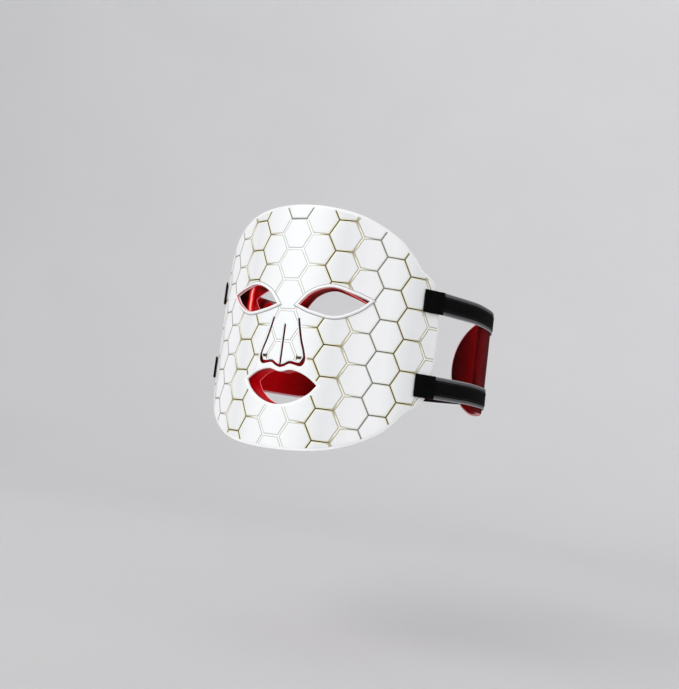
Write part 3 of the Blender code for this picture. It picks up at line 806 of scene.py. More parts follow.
def lamp_glow():
    """The liner over a lamp: nearly white in the middle, through bright red to the liner's own red."""
    paint = Paint("lamp_glow", coat_weight=0.4, coat_roughness=0.12, emission_strength=0.9)
    axes = paint.axes()
    along = paint.math("DIVIDE", axes["X"], UNIT)
    up = paint.math("DIVIDE", axes["Y"], ROW)

    def distance_to(shift):
        """To the nearest place of one square lattice of lamps, in UNIT."""
        du = paint.math("PINGPONG", paint.math("ADD", along, shift + 40.0), 1.0)
        dv = paint.math("PINGPONG", paint.math("ADD", up, shift + 40.0), 1.0)
        dv = paint.math("MULTIPLY", dv, ROW / UNIT)
        squares = paint.math("ADD", paint.math("MULTIPLY", du, du), paint.math("MULTIPLY", dv, dv))
        return paint.math("SQRT", squares)

    near = paint.math("MINIMUM", distance_to(0.0), distance_to(1.0))
    paint.color(paint.ramp(near, [
        (0.0, (1.0, 0.62, 0.58)), (0.16, (1.0, 0.22, 0.20)), (0.42, (0.74, 0.04, 0.05)), (0.62, LENS_SHADE),
    ]))
    paint.color(paint.ramp(near, [
        (0.0, (1.0, 0.55, 0.50)), (0.18, (0.95, 0.10, 0.08)), (0.45, (0.55, 0.0, 0.0)),
        (0.62, (0.25, 0.0, 0.0)),
    ]), "Emission Color")
    paint.roughness(paint.noise(350.0), 0.24, 0.38)
    return paint.material


def pile(name, dark, light, scale=2200.0, depth=0.0002):
    """The brushed loops of hook-and-loop tape."""
    paint = Paint(name, specular_ior_level=CLOTH_SHINE)
    loops = paint.loops(scale)
    patches = paint.noise(160.0, 4.0)
    shade = paint.math("ADD", paint.math("MULTIPLY", loops, 0.5), paint.math("MULTIPLY", patches, 0.6))
    paint.color(paint.ramp(shade, [(0.3, dark), (0.8, light)]))
    paint.roughness(patches, 0.82, 0.98)
    paint.bump(loops, depth, 0.6)
    return paint.material


def strap_cloth(name, stops, painted_falloff_stops=None):
    """Woven strap whose colour changes from its middle, at 0, to its long edges, at 1, and to the back, where
    optional dark stops take over as painted falloff of the lamps' light.
    """
    paint = Paint(name, specular_ior_level=CLOTH_SHINE)
    strip = paint.axes("strip")
    flat_place = paint.axes()
    ribs = [
        paint.math("PINGPONG", paint.math("ADD", paint.math("DIVIDE", flat_place[axis], pitch), 200.0), 0.5)
        for axis, pitch in (("X", 0.0012), ("Y", 0.0009))
    ]
    weave = paint.math("MULTIPLY", paint.math("MULTIPLY", *ribs), 4.0, clamp=True)
    fuzz = paint.noise(2200.0, 2.0)
    grain = paint.math("ADD", paint.math("MULTIPLY", weave, 0.5), paint.math("MULTIPLY", fuzz, 0.5))
    shade = paint.wavered(paint.math("ABSOLUTE", strip["X"]), grain, 0.06)
    tone = paint.ramp(shade, stops)
    if painted_falloff_stops:
        # Painted shade: past the middle of the length the colour turns to the dark stops, as the lamps' light
        # falls off.
        share = paint.ramp(strip["Y"], [(0.45, BLACK), (0.68, WHITE)])
        tone = paint.mixed(share, tone, paint.ramp(shade, painted_falloff_stops))
    paint.color(tone)
    paint.roughness(fuzz, 0.75, 0.95)
    paint.bump(grain, 0.00012)
    return paint.material


def pad_cloth(name, stops, depth=0.0002):
    """Soft knit over foam, whose colour changes from the pad's front end, at 0, to its rear end, at 1, as
    painted light and shade.
    """
    paint = Paint(name, specular_ior_level=CLOTH_SHINE)
    cloud = paint.noise(70.0, 4.0)
    paint.color(paint.ramp(paint.wavered(paint.axes("strip")["X"], cloud, 0.12), stops))
    paint.roughness(cloud, 0.7, 0.9)
    paint.bump(paint.math("ADD", paint.math("MULTIPLY", cloud, 3.0), paint.loops(1100.0)), depth)
    return paint.material


def thread(name, color):
    return mottled(name, [0.8 * c for c in color], color, 3000.0, 2.0, roughness=0.6).material


def board_film(name, base, trace):
    """A board's film with its printed conductors showing through."""
    paint = Paint(name, coat_weight=0.3)
    bricks = paint.node("TexBrick")
    bricks.inputs["Scale"].default_value = 160.0
    bricks.inputs["Mortar Size"].default_value = 0.05
    bricks.inputs["Color1"].default_value = srgb(*base)
    bricks.inputs["Color2"].default_value = srgb(*(0.9 * c for c in base))
    bricks.inputs["Mortar"].default_value = srgb(*trace)
    paint.feed(bricks, paint.node("TexCoord").outputs["Object"])
    paint.color(bricks.outputs["Color"])
    paint.roughness(paint.noise(500.0), 0.3, 0.5)
    return paint.material


def socket_steel():
    paint = mottled("socket_steel", (0.70, 0.70, 0.71), (0.80, 0.80, 0.81), 1200.0, 2.0, metallic=1.0)
    paint.roughness(paint.noise(1200.0, 2.0), 0.22, 0.4)
    return paint.material


# The mask

def rim(loop, radius=OPENING_ROUND, back=None):
    """An opening's rounded front edge, going back to the skin's inner face or as a given profile."""
    return loop, quarter(radius) + (back or [(0.0, SKIN)])


def lip_profile(width, radius=0.0005):
    """A lip round the laminate's edge: down its outer side, round its rear face and up to the skin."""
    corner = quarter(radius, 3)
    outer = [(inset, LAMINATE - depth) for inset, depth in reversed(corner)]
    inner = [(width - inset, LAMINATE - depth) for inset, depth in corner]
    return outer + inner + [(width, SKIN)]


def make_skin(sheet):
    """The outer shell: a thin skin with a lip round its edge and round the nose."""
    eye = eye_outline()
    nose = nose_outline()
    solid = lofted([
        rim(mask_outline(), EDGE_ROUND, lip_profile(LIP)),
        rim(eye), rim(other_side(eye)), rim(mouth_outline()),
        rim(nose, NOSE_ROUND, lip_profile(NOSE_LIP, 0.0003)),
    ])
    bridge = NOSE_BRIDGE_HALF * UNIT
    plug = slab(rectangle((-bridge, ROOT_HEIGHT), (bridge, ROOT_HEIGHT + NOSE_BRIDGE_HEIGHT)), 0.0, SKIN)
    near_nose = grow(nose, NOSE_LIP + GAP)
    solid = combined(solid, plug, "UNION")
    # Faces of the nose's edges behind RED_BEHIND get the red paint, which is painted lamp light.
    picked(solid, lambda middle: middle.z < RED_BEHIND and inside(near_nose, middle))
    placed(finished("mask_skin", solid, sheet, ["white", "red"]), "white_silicone", "outer_shell")


def cell_outline(centre, inset):
    """One hexagon, with its sides moved in by a share of UNIT."""
    u, v = centre
    corners = [(u + 2, v), (u + 1, v + 1), (u - 1, v + 1), (u - 2, v), (u - 1, v - 1), (u + 1, v - 1)]
    return grow(flat(corners), -inset * UNIT)


def pattern_region(loops, shallow, deep):
    """A flat block inside the first loop and outside the others, which may overlap."""
    block = slab(loops[0], shallow, deep)
    for loop in loops[1:]:
        block = combined(block, slab(loop, shallow - CUT_MARGIN, deep + CUT_MARGIN), "DIFFERENCE")
    return block


def tile_field(cells):
    """The raised cells, each a low pillow with a thin sloping edge."""
    field = bmesh.new()
    for centre in cells:
        rings = [[(x, y, height) for x, y in cell_outline(centre, inset)] for inset, height in TILE_RINGS]
        for level in stacked(field, rings)[:2]:
            for face in level:
                face.material_index = 1
    return outward(field)


def band_field(region, cells, half_width):
    """The region without its cells: a net with strands this wide on each side of a cell's edge."""
    cutters = bmesh.new()
    for centre in cells:
        outline = cell_outline(centre, half_width)
        stacked(cutters, [[(x, y, z) for x, y in outline] for z in (-CUT_MARGIN, CUT_MARGIN)])
    return picked(combined(region, outward(cutters), "DIFFERENCE"), lambda middle: 0)


def pattern_solids(loops):
    """The cells, the net and its middle lines inside the first loop and outside the others."""
    across = [x for x, y in loops[0]]
    up = [y for x, y in loops[0]]
    cells = [
        (u, v) for u, v in ((3 * i, 2 * j + i % 2) for i in range(-6, 7) for j in range(-2, 8))
        if min(across) < (u + 2) * UNIT and (u - 2) * UNIT < max(across)
        and min(up) < row_height(v - 1) and row_height(v + 1) < max(up)
    ]
    region = picked(pattern_region(loops, -CUT_MARGIN, TILE_FOOT / 2), lambda middle: 2)
    return (
        combined(tile_field(cells), region, "INTERSECT"),
        band_field(pattern_region(loops, -BAND_HEIGHT, TILE_FOOT), cells, TILE_BASE - 0.005),
        band_field(pattern_region(loops, -BAND_HEIGHT - CORE_RISE, 0.0), cells, CORE_HALF),
    )


def pattern_pieces(sheet, name, solids):
    """The finished cells, net and middle lines; the name has a gap for what each one is."""
    looks = (("cells", ["tile", "line", "white"], 25.0), ("foil", ["band"], 50.0), ("lines", ["core"], 50.0))
    return [
        finished(name.format(kind), solid, sheet, paints, step=0.5, sharp=sharp)
        for solid, (kind, paints, sharp) in zip(solids, looks)
    ]


def make_pattern(sheet):
    """The honeycomb, clear of the bezels, the lips, the nose and the skin below it."""
    eye = grow(eye_outline(), BEZEL_WIDTH - 0.0006)
    loops = [
        grow(mask_outline(), -BORDER), eye, other_side(eye), grow(mouth_outline(), BORDER),
        flat(PLAIN_BELOW_NOSE),
        [(x, min(y, ROOT_HEIGHT)) for x, y in grow(nose_outline(), BORDER * 0.5)],
    ]
    for piece in pattern_pieces(sheet, "mask_{}", pattern_solids(loops)):
        placed(piece, "white_silicone")


def make_bezel(sheet, side, eye):
    """A raised ring: its outer side is a soft shoulder that runs out into a thin foot."""
    shoulder = [(BEZEL_ROUND + inset, depth - BEZEL_HEIGHT) for inset, depth in quarter(BEZEL_ROUND)]
    inner = rounded(-BEZEL_HEIGHT, 0.0002, 0.0006, back_radius=0.0001)
    edge = grow(eye, 0.0003)
    crown = grow(eye, BEZEL_WIDTH - 0.0018)

    def paint_of(middle):
        """Pink down the inner side, and greyer on the foot, which is painted shade where the ring steps down
        to the skin.
        """
        if inside(edge, middle) and middle.z < BEZEL_HEIGHT - 0.0004:
            return 2
        return middle.z < 0.0006 and not inside(crown, middle)

    ring = lofted([(grow(eye, BEZEL_WIDTH), shoulder + BEZEL_FOOT), (grow(eye, 0.0001), inner)])
    bezel = finished(f"eye_bezel_ring_{side}", picked(ring, paint_of), sheet, ["white", "foot", "blush"])
    placed(bezel, "white_silicone", f"eye_bezel_{side}")


def make_shield(sheet, name, opening, deep, paint, node):
    """The wall behind an opening."""
    wall = rounded(SHIELD_TOP, deep, SHIELD_ROUNDS[0], back_radius=SHIELD_ROUNDS[1])
    solid = lofted([(grow(opening, SHIELD_WALL + GAP), wall), (grow(opening, SHIELD_INSET), wall)])
    placed(finished(name, solid, sheet, [paint]), "red_silicone", node)


def make_openings(sheet):
    for side, eye in (("left", eye_outline()), ("right", other_side(eye_outline()))):
        make_bezel(sheet, side, eye)
        make_shield(sheet, f"eye_shield_wall_{side}", eye, EYE_SHIELD_DEPTH, "eye_red", f"eye_shield_{side}")
    make_shield(
        sheet, "mouth_shield_wall", mouth_outline(), MOUTH_SHIELD_DEPTH, "mouth_red", "mouth_shield"
    )


def clear_of_corner(point):
    """A point of a flap's edge, lifted along the foot and drawn in at the lower outer corner."""
    corner = Vector(metres(*FLAP_CORNER))
    near = clamped(1.0 - (Vector(point) - corner).length / (FLAP_CORNER_REACH * UNIT))
    low = clamped((row_height(FLAP_FOOT) - point[1]) / (0.4 * ROW))
    return (point[0] - CORNER_PULL[0] * near, point[1] + FOOT_LIFT * low + CORNER_PULL[1] * near)


def flap_outline():
    """The nose flap on the wearer's left, running on above its root; the slit starts below the root."""
    inner = grow(nose_outline(), -FLAP_CLEARANCE)
    half = [clear_of_corner(p) for p in inner if p[0] > NOSE_SLIT and p[1] < ROOT_HEIGHT - 0.001]
    side = sorted(half, key=lambda p: math.atan2(p[1] - 0.5 * ROOT_HEIGHT, p[0] - NOSE_SLIT))
    foot = clear_of_corner((0.0, min(p[1] for p in inner if abs(p[0]) < UNIT)))[1]
    top = ROOT_HEIGHT + FLAP_EXTRA
    corner = side[-1][0] - 0.0002
    slit = [(HAIRLINE, top), (HAIRLINE, SLIT_HEIGHT)]
    slit += [(NOSE_SLIT, SLIT_HEIGHT - SLIT_TAPER), (NOSE_SLIT, foot)]
    return anticlockwise(slit + side + [(corner, ROOT_HEIGHT), (corner, top)])


def make_nose_flaps(sheet):
    """The flaps: white in front, red where the lamps light them, carried onto the sheet."""
    for side, sign in (("left", 1), ("right", -1)):
        outline = flap_outline() if side == "left" else other_side(flap_outline())
        flap = lofted([(outline, rounded(0.0, LAMINATE - 0.0004, 0.00025))])
        flap = picked(cut_above(flap, ROOT_HEIGHT - 0.00002), lambda middle: middle.z < RED_BEHIND)
        pieces = [finished(f"nose_flap_skin_{side}", flap, sheet, ["white", "red"])]
        border = [(x, y + (0.001 if y > ROOT_HEIGHT else 0.0)) for x, y in grow(outline, -FLAP_BORDER)]
        border = [(0.0 if abs(x) <= 0.0012 and y >= SLIT_HEIGHT - SLIT_TAPER else x, y) for x, y in border]
        solids = [cut_above(solid, ROOT_HEIGHT) for solid in pattern_solids([anticlockwise(border)])]
        pieces += pattern_pieces(sheet, f"nose_flap_{{}}_{side}", solids)
        for piece in pieces:
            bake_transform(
                applied(piece), "mask", f"nose_flap_{side}",
                start=place(sheet, sign * FLAP_MIDDLE, ROOT_HEIGHT),
                end=place(sheet, sign * FLAP_MIDDLE, ROOT_HEIGHT - FLAP_BEND),
            )
        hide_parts(f"nose_flap_{side}")


def jumper_loops():
    """The outlines of the two jumpers on the wearer's left, between the boards."""
    loops = []
    for low, high in (TEMPLE_JUMPER, JAW_JUMPER):
        a, b = Vector(metres(*low)), Vector(metres(*high))
        across = (b - a).orthogonal().normalized() * JUMPER_HALF_WIDTH
        loops.append(anticlockwise([tuple(p) for p in (a - across, b - across, b + across, a + across)]))
    return loops


def lamp_places():
    """The corners and centres of the honeycomb cells that lie well inside one of the boards."""
    jumpers = [grow(loop, JUMPER_ROOM) for loop in jumper_loops()]
    jumpers += [other_side(loop) for loop in jumpers]
    cheek = flat(through(CHEEK_BOARD, 2, closed=True))
    boards = [cheek, other_side(cheek)]
    boards += [flat(through(both_halves(half), 2, closed=True)) for half in (FOREHEAD_BOARD, CHIN_BOARD)]
    rooms = [grow(board, -LAMP_ROOM) for board in boards]
    points = [metres(u, v) for u in range(-18, 19) for v in range(-2, 14) if (u + v) % 2 == 0]
    return [
        p for p in points
        if any(inside(room, p) for room in rooms) and not any(inside(loop, p) for loop in jumpers)
    ]


def make_liner(sheet):
    """The translucent inner sheet, with a low lens moulded over every lamp."""
    eye = grow(eye_outline(), SHIELD_WALL + 2 * GAP)
    mouth = grow(mouth_outline(), SHIELD_WALL + 2 * GAP)
    nose = grow(nose_outline(), NOSE_LIP + GAP)
    edge = grow(mask_outline(), -LIP - GAP)
    profile = rounded(LINER_TOP, LAMINATE, 0.0001, back_radius=0.0005)
    solid = lofted([(loop, profile) for loop in (edge, eye, other_side(eye), mouth, nose)])
    placed(finished("liner_sheet", solid, sheet, ["liner"]), "clear_silicone", "inner_liner")

    lenses = bmesh.new()
    around = [math.tau * i / 20 for i in range(20)]
    dome = [math.pi / 2 * i / 4 for i in range(4)]
    profile = [(LENS_SKIRT, -0.0001), (LENS_SKIRT, LENS_FOOT)]
    profile += [(LENS_RADIUS * math.cos(a), LENS_FOOT + LENS_HEIGHT * math.sin(a)) for a in dome]
    for x, y in lamp_places():
        stacked(lenses, [
            [(x + out * math.cos(a), y + out * math.sin(a), -LAMINATE - height) for a in around]
            for out, height in profile
        ])
    lenses = finished("liner_lenses", outward(lenses), sheet, ["lens"], step=1.0, sharp=30.0)
    placed(lenses, "clear_silicone")


# Straps and pads

def climb(along, rise):
    """How far a strap has risen at a length from its front end, in UNIT."""
    return np.clip(along / (RISE_LENGTH * UNIT), 0.0, 1.0) * rise


def strip_solid(start, end, edges, rise, setback, profile, wide=0.0):
    """A flat strip along the strap route that climbs first; wide is the length with no setback."""
    cuts = [start + (end - start) * i / 40 for i in range(41)]
    if wide:
        cuts = sorted(cuts + [start + wide, start + wide + 0.0003])

    def edge(at, side):
        inner = 0.0 if wide and at <= start + wide else setback
        return (at, (edges[side] + climb(at, rise) + (-inner if side else inner)) * UNIT)

    loop = [edge(at, 0) for at in cuts] + [edge(at, 1) for at in reversed(cuts)]
    return lofted([(loop, profile)])


def laid(solid, side, length=0.0):
    """The flat solid as it is, or on the right laid from the far end of a route of this length."""
    if side == "right":
        bmesh.ops.scale(solid, vec=(-1, 1, 1), verts=solid.verts[:])
        bmesh.ops.translate(solid, verts=solid.verts[:], vec=(length, 0, 0))
        bmesh.ops.reverse_faces(solid, faces=solid.faces[:])
    return solid


def with_strip(piece, side, length, across, along):
    """Notes two shares on each vertex, worked out from its height and its length from the front end."""
    points = vectors(piece.data.attributes["flat"].data, "vector")
    run = length - points[:, 0] if side == "right" else points[:, 0]
    note(piece.data, "strip", np.stack([across(points[:, 1], run), along(run), 0.0 * run], axis=1))
    return piece


def share_across(edges, rise):
    """-1 and 1 at a strap's long edges."""
    def share(height, run):
        middle = sum(edges) / 2 + climb(run, rise)
        return (height / UNIT - middle) / ((edges[1] - edges[0]) / 2)
    return share


def share_along(run):
    """0 at a strap's front end and 1 where the side straps end."""
    return run / (STRAP_END * UNIT)


def stitch_row(solid, start, end, height_at, lift):
    """A row of short threads, each a low arch."""
    count = int((end - start) / STITCH_PITCH)
    wide, tall = THREAD_HALF
    around = [math.tau * k / 6 for k in range(6)]
    for i in range(count):
        first = start + (end - start) * i / count
        rings = []
        for t in (0.0, 0.25, 0.5, 0.75, 1.0):
            x = first + STITCH_PITCH * STITCH_SHARE * t
            y = height_at(x)
            z = lift + STITCH_ARCH * math.sin(math.pi * t) - THREAD_SUNK
            rings.append([(x, y + wide * math.cos(a), z + tall * math.sin(a)) for a in around])
        stacked(solid, rings)


def make_band(route, level, side):
    """A side strap: its webbing, the black facing on it and the facing's two rows of stitches."""
    edges, rise = STRAPS[level]
    length = route["distance"][-1]
    end = STRAP_END * UNIT
    name = f"{level}_{side}"
    run = strip_solid(0.0, end, edges, rise, 0.0, rounded(-WEBBING, 0.0, 0.0004))
    run = laid(picked(run, lambda middle: middle.z < 0.0002), side, length)
    strap = finished(f"webbing_{name}", run, route, ["webbing", "lining"])
    with_strip(strap, side, length, share_across(edges, rise), share_along)
    placed(strap, "grey_webbing", f"strap_webbing_{name}")

    top = WEBBING + FACING * 0.6
    profile = rounded(-top, -WEBBING + 0.0001, 0.0004)
    cover = strip_solid(0.0, end - UNIT, edges, rise, FACING_SETBACK, profile, BLACK_START)
    cover = finished(f"facing_{name}", laid(cover, side, length), route, ["black_pile"])
    placed(cover, "black_webbing", f"strap_facing_{name}")

    threads = bmesh.new()
    for edge, inwards in ((edges[0], 1), (edges[1], -1)):
        def height_at(x):
            return (edge + inwards * FACING_SETBACK + climb(x, rise)) * UNIT + inwards * FACING_SEAM
        stitch_row(threads, 0.008, end - 2 * UNIT, height_at, top)
    threads = laid(outward(threads), side, length)
    placed(finished(f"stitches_{name}", threads, route, ["black_thread"], step=30.0), "black_webbing")


def make_tab(sheet, level, side):
    """The hook tab at a strap's front end, and the patch of loops under it."""
    sign = -1.0 if side == "right" else 1.0
    name = f"{level}_{side}"
    low, high = (edge * UNIT for edge in STRAPS[level][0])
    start, line = TAB_END * UNIT, PEEL_LINE * UNIT
    tab = lofted([(
        rectangle((start, low), (line + 0.0006, high)),
        rounded(-TAB_LIFT - TAB, -TAB_LIFT, 0.0005),
    )])
    for i in range(1, 24):
        cut_along(tab, (start + (line - start) * i / 24, 0, 0), (1, 0, 0))
    for vertex in tab.verts:
        near = clamped((vertex.co.x - line + TAB_RAMP) / TAB_RAMP)
        raised = clamped((vertex.co.z - TAB_LIFT) / TAB)
        vertex.co.z += TAB_RAISE * near * near * (3 - 2 * near) * raised
    for face in tab.faces:
        face.material_index = 1 if face.normal.z < -0.7 else 0
    tab = applied(finished(f"tab_{name}", laid(tab, side), sheet, ["black_pile", "hooks"], step=0.2))
    middle = (low + high) / 2
    place(sheet, sign * line, middle, -TAB_HINGE)
    place(sheet, sign * (line - TAB_BEND), middle, -TAB_HINGE)
    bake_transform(tab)
    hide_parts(f"strap_tab_{name}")

    setback = FACING_SETBACK * UNIT
    outline = rectangle((start + GAP, low + setback), (line - 2 * GAP, high - setback))
    patch = lofted([(outline, rounded(-GAP - PATCH, -GAP + 0.0003, 0.0002))])
    patch = finished(f"patch_{name}", laid(patch, side), sheet, ["grey_pile"])
    placed(patch, "loop_pile", f"loop_patch_{name}")


def arc(centre, radii, first, last, steps):
    """Points along part of an ellipse, between two angles in degrees."""
    turns = [math.radians(first + (last - first) * i / steps) for i in range(steps + 1)]
    return [(centre[0] + radii[0] * math.cos(a), centre[1] + radii[1] * math.sin(a)) for a in turns]


def pad_loop():
    """A panel with rounded front corners and a half ellipse towards the middle of the back."""
    points = arc(PAD_CENTRE, PAD_RADII, -90, 90, 40)
    for side, first in ((1, 90), (-1, 180)):
        centre = (PAD_FRONT + PAD_CORNER, PAD_CENTRE[1] + side * (PAD_RADII[1] - PAD_CORNER))
        points += arc(centre, (PAD_CORNER, PAD_CORNER), first, first + 90, 9)
    return anticlockwise([(x * UNIT, y * UNIT) for x, y in points])


def pad_profile():
    """From the outer face to the inner one: a quilted seam, a crowned edge and a welt halfway."""
    outer = [
        (0.0120, 0.0003), (0.0085, 0.00035), (0.0062, 0.0005), (0.0052, 0.0008), (0.0049, 0.0010),
        (0.0045, 0.0008), (0.0034, 0.0005), (0.0022, 0.0006), (0.0011, 0.0010), (0.0007, 0.0015),
    ]
    welt = arc((0.0005, PAD_LAYER / 2), (-0.0010, 0.0010), -110, 110, 8)
    inner = [(inset, PAD_LAYER - depth) for inset, depth in reversed(outer)]
    return outer + welt + inner


def make_pad(route, side):
    """A padded panel, red on both faces as painted lamp light that fades towards the rear, with a pale welt
    round its edge.
    """
    length = route["distance"][-1]

    def paint_of(middle):
        if WELT_DEPTHS[0] < -middle.z < WELT_DEPTHS[1]:
            return 2
        return -middle.z >= PAD_LAYER / 2

    solid = laid(picked(lofted([(pad_loop(), pad_profile())]), paint_of), side, length)
    pad = finished(f"padded_panel_{side}", solid, route, ["pad_outer", "pad_inner", "welt"], sharp=80.0)
    reach = PAD_CENTRE[0] + PAD_RADII[0] - PAD_FRONT
    with_strip(pad, side, length, lambda height, run: (run / UNIT - PAD_FRONT) / reach, lambda run: 0.0 * run)
    placed(pad, "red_pad", f"rear_pad_{side}")


def make_rear_strap(route):
    """The strap at the nape, sewn to both pads with short rows at its ends."""
    length = route["distance"][-1]
    start = REAR_STRAP_START * UNIT
    low, high = (edge * UNIT for edge in REAR_STRAP)
    strap = lofted([(rectangle((start, low), (length - start, high)), rounded(-WEBBING, 0.0002, 0.0004))])
    picked(strap, lambda middle: middle.z < 0.0001)
    strap = finished("rear_strap_band", strap, route, ["black_weave", "lining"])
    with_strip(strap, "left", length, share_across(REAR_STRAP, 0.0), share_along)
    placed(strap, "black_webbing", "rear_strap")

    threads = bmesh.new()
    for at in (start + 0.002, start + 0.012, length - start - 0.0155, length - start - 0.0055):
        for level in (low + 0.0025, (low + high) / 2, high - 0.0025):
            stitch_row(threads, at, at + 0.0035, lambda x: level, WEBBING)
    for level in (low + 0.0018, high - 0.0018):
        stitch_row(threads, start + 0.001, start + 0.017, lambda x: level, WEBBING)
        stitch_row(threads, length - start - 0.017, length - start - 0.001, lambda x: level, WEBBING)
    threads = finished("rear_stitches", outward(threads), route, ["black_thread"], step=30.0)
    placed(threads, "black_webbing")


# Power inlet and hidden boards

def rounded_rectangle(low, high, radius, steps=5):
    """A closed loop with round corners, from two opposite corners."""
    right, left = high[0] - radius, low[0] + radius
    top, bottom = high[1] - radius, low[1] + radius
    loop = []
    for turn, centre in enumerate(((right, top), (left, top), (left, bottom), (right, bottom))):
        loop += arc(centre, (radius, radius), 90 * turn, 90 * (turn + 1), steps)
    return anticlockwise(loop)


def make_inlet(sheet):
    """A moulded boss on the inner face of the wearer's right flap, with the socket's pocket in its end."""
    height = row_height(BOSS_ROW)
    low = (-BOSS[1] * UNIT, height - BOSS_HALF_HEIGHT)
    high = (-BOSS[0] * UNIT, height + BOSS_HALF_HEIGHT)
    profile = [(0.0, LAMINATE - 0.0002)] + rounded(*BOSS_DEPTH, 0.0018, 5)[5:]
    boss = lofted([(rounded_rectangle(low, high, 0.0016), profile)])
    tall, thick = (half + GAP for half in SOCKET_HALF)
    mouth = rectangle((low[0] - UNIT, height - tall), (-SOCKET_BACK * UNIT + GAP, height + tall))
    pocket = slab(mouth, SOCKET_DEPTH - thick, SOCKET_DEPTH + thick)
    boss = combined(boss, pocket, "DIFFERENCE")
    placed(finished("inlet_shoulder", boss, sheet, ["white"]), "white_silicone", "inlet_boss")


def paint_frame_nodes():
    """The rigid pieces keep their modelled shape, with eased edges on the socket."""
    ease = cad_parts["power_socket"].modifiers.new("eased_edges", "BEVEL")
    ease.width = 0.00012
    ease.segments = 2
    ease.limit_method = "ANGLE"
    ease.angle_limit = math.radians(40.0)
    kinds = {"power_socket": "steel", "driver_board": "green_board"}
    kinds["forehead_board"] = kinds["chin_board"] = "flex"
    for name in ("cheek_board", "temple_jumper", "jaw_jumper"):
        kinds[f"{name}_left"] = kinds[f"{name}_right"] = "flex"
    for name, kind in kinds.items():
        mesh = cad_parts[name].data
        mesh.materials.clear()
        mesh.materials.append(materials[kind])


# Camera, light and stage

def make_camera():
    """From below and to the wearer's left, a little rolled, as far as the honeycomb's perspective says."""
    yaw, pitch, roll = (math.radians(turn) for turn in CAMERA_TURN)
    aim = Vector((0.0, CAMERA_AIM * UNIT, 0.0))
    forward = Vector((-math.sin(yaw) * math.cos(pitch), math.cos(yaw) * math.cos(pitch), -math.sin(pitch)))
    level = Vector((math.cos(yaw), math.sin(yaw), 0.0))
    upright = level.cross(forward)
    right = level * math.cos(roll) + upright * math.sin(roll)
    up = upright * math.cos(roll) - level * math.sin(roll)
    data = bpy.data.cameras.new("camera")
    data.lens = 45.25
    data.sensor_width = 36.0
    data.shift_x = 0.0305
    data.shift_y = -0.0118
    camera = added("camera", data)
    turn = Matrix((right, up, -forward)).transposed().to_4x4()
    camera.matrix_world = Matrix.Translation(aim - forward * CAMERA_DISTANCE * UNIT) @ turn
    bpy.context.scene.camera = camera


def make_stage():
    """A pale seamless floor under the object that curves up very gently, far away, on every side."""
    profile = [(reach, 0.0) for reach in (0.0, 0.5, 1.0)]
    profile += [(1.0 + 0.25 * i, 0.035 * i ** 2) for i in range(1, 13)]
    bowl = bmesh.new()
    line = [bowl.verts.new((x, 0.0, z)) for x, z in profile]
    edges = [bowl.edges.new(pair) for pair in zip(line, line[1:])]
    bmesh.ops.spin(
        bowl, geom=line + edges, cent=(0, 0, 0), axis=(0, 0, 1), angle=math.tau, steps=64, use_merge=True
    )
    bmesh.ops.remove_doubles(bowl, verts=bowl.verts[:], dist=1e-5)
    mesh = bpy.data.meshes.new("studio_floor")
    outward(bowl).to_mesh(mesh)
    mesh.shade_smooth()
    floor = added("studio_floor", mesh)
    floor.location = (0.0, 0.0, shell_low.z - 0.16)
    low, high = (0.775, 0.775, 0.78), (0.785, 0.785, 0.79)
    paint = mottled("studio_paper", low, high, 2.0, roughness=0.95, specular_ior_level=0.1)
    mesh.materials.append(paint.material)
    floor.visible_shadow = False


def add_light(name, kind, direction, strength):
    """A light that shines along a direction."""
    data = bpy.data.lights.new(name, kind)
    data.energy = strength
    light = added(name, data)
    light.rotation_mode = "QUATERNION"
    light.rotation_quaternion = Vector(direction).to_track_quat("-Z", "Y")
    return light


def make_light():
    """A white sky, three wide soft suns and one panel in front that the glossy silicone mirrors."""
    world = bpy.data.worlds.new("studio")
    world.use_nodes = True
    world.node_tree.nodes["Background"].inputs["Color"].default_value = (1.0, 1.0, 1.0, 1.0)
    world.node_tree.nodes["Background"].inputs["Strength"].default_value = 0.8
    bpy.context.scene.world = world
    for name, direction, strength, angle in (
        ("key", (0.30, 0.85, -0.45), 1.55, 50.0),
        ("fill", (-0.70, 0.65, -0.15), 0.65, 70.0),
        ("back", (0.3, -0.8, -0.6), 0.7, 60.0),
    ):
        add_light(name, "SUN", direction, strength).data.angle = math.radians(angle)
    where = Vector((-0.3, -1.5, 1.1))
    panel = add_light("front_panel", "AREA", Vector((0.0, -0.06, 0.0)) - where, 5.0)
    panel.location = where
    panel.data.shape = "RECTANGLE"
    panel.data.size = 0.9
    panel.data.size_y = 0.5
    bpy.context.scene.view_settings.view_transform = "Standard"


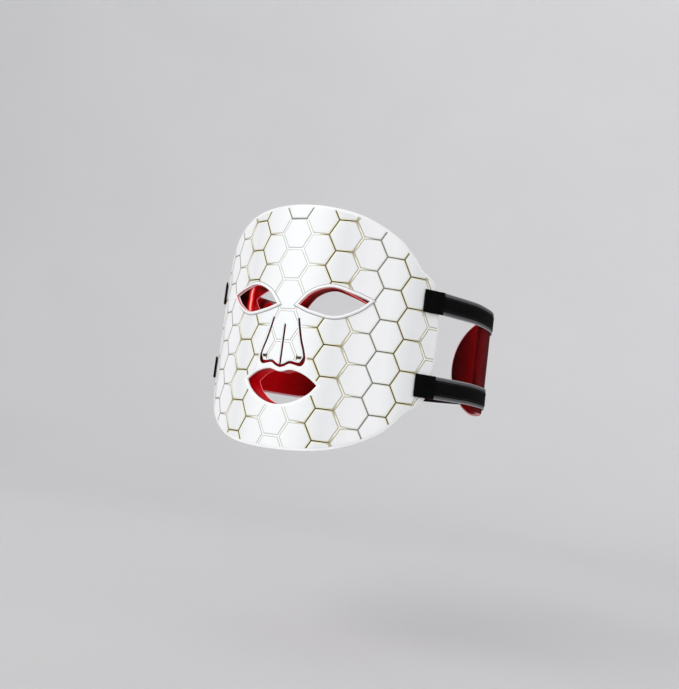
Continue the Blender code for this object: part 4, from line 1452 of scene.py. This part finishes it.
make_camera()
make_light()
make_stage()
sheet = sheet_route()
straps = strap_route()
materials = {
    "white": white_silicone(),
    # The bezel's greyer foot is painted shade.
    "foot": tinted_silicone("bezel_foot_painted_shade", (0.62, 0.62, 0.63)),
    "blush": tinted_silicone("bezel_inner_edge", (0.90, 0.42, 0.46)),
    "tile": pearl_tile(),
    "line": line_foil(),
    "band": band_foil(),
    "core": core_foil(),
    # Red on the nose's edges of the skin and the flaps: painted lamp light, with painted glow.
    "red": red_silicone("red_silicone", 0.06, (0.40, 0.0, 0.01), (0.40, 0.0, 0.008)),
    "eye_red": red_silicone(
        "eye_shield_silicone", EYE_SHIELD_DEPTH, (0.74, 0.0, 0.04), (0.36, 0.0, 0.01), painted_corner_shade_and_streak=True
    ),
    "mouth_red": red_silicone(
        "mouth_shield_silicone", MOUTH_SHIELD_DEPTH, (0.60, 0.0, 0.03), (0.76, 0.0, 0.05)
    ),
    "liner": liner_silicone(),
    "lens": lamp_glow(),
    "webbing": strap_cloth("grey_webbing", [
        (0.0, (0.10, 0.10, 0.105)), (0.60, (0.14, 0.14, 0.145)), (0.70, (0.34, 0.34, 0.35)),
        (0.88, (0.42, 0.42, 0.43)), (0.94, (0.60, 0.60, 0.61)), (1.0, (0.68, 0.68, 0.69)),
    ]),
    # The lining's bright red near the mask is painted lamp light; towards the back it fades to near black as
    # painted falloff.
    "lining": strap_cloth("strap_lining", [
        (0.0, (0.58, 0.0, 0.015)), (0.82, (0.64, 0.0, 0.02)), (0.88, (0.80, 0.46, 0.49)),
        (1.0, (0.76, 0.50, 0.53)),
    ], [
        (0.0, (0.30, 0.0, 0.01)), (0.60, (0.20, 0.0, 0.005)), (0.82, (0.07, 0.01, 0.01)),
        (1.0, (0.10, 0.09, 0.09)),
    ]),
    "black_weave": strap_cloth("black_weave", [
        (0.0, (0.05, 0.05, 0.055)), (0.85, (0.05, 0.05, 0.055)), (1.0, (0.16, 0.16, 0.17)),
    ]),
    "black_pile": pile("black_pile", (0.005, 0.005, 0.006), (0.045, 0.045, 0.048)),
    "hooks": pile("hook_tape", (0.01, 0.01, 0.012), (0.12, 0.12, 0.125), scale=1300.0, depth=0.0004),
    "grey_pile": pile("loop_tape", (0.26, 0.26, 0.27), (0.42, 0.42, 0.43)),
    "black_thread": thread("black_thread", (0.10, 0.10, 0.105)),
    # Painted shadow at the outer face's front edge, then dark red that fades towards the rear as painted
    # falloff of the lamps' light.
    "pad_outer": pad_cloth("pad_outer_cloth", [
        (0.0, (0.20, 0.0, 0.006)), (0.03, (0.42, 0.0, 0.012)), (0.20, (0.34, 0.0, 0.01)),
        (1.0, (0.17, 0.0, 0.006)),
    ]),
    # Bright red at the front fading to near black at the rear: painted falloff of the lamps' red light.
    "pad_inner": pad_cloth("pad_lining", [
        (0.0, (0.74, 0.0, 0.03)), (0.35, (0.72, 0.0, 0.03)), (0.55, (0.57, 0.0, 0.015)),
        (0.80, (0.34, 0.0, 0.005)), (1.0, (0.09, 0.0, 0.0)),
    ]),
    "welt": pad_cloth("pad_welt", [
        (0.0, (0.30, 0.02, 0.03)), (0.08, (0.44, 0.12, 0.14)), (0.20, (0.84, 0.58, 0.61)),
        (1.0, (0.88, 0.70, 0.72)),
    ], 0.0001),
    "steel": socket_steel(),
    "flex": board_film("copper_film", (0.50, 0.28, 0.12), (0.30, 0.15, 0.06)),
    "green_board": board_film("green_board", (0.03, 0.22, 0.10), (0.10, 0.34, 0.18)),
}
make_skin(sheet)
make_pattern(sheet)
make_openings(sheet)
make_nose_flaps(sheet)
make_liner(sheet)
for strap_level in STRAPS:
    for strap_side in ("left", "right"):
        make_band(straps, strap_level, strap_side)
        make_tab(sheet, strap_level, strap_side)
for pad_side in ("left", "right"):
    make_pad(straps, pad_side)
make_rear_strap(straps)
make_inlet(sheet)
paint_frame_nodes()
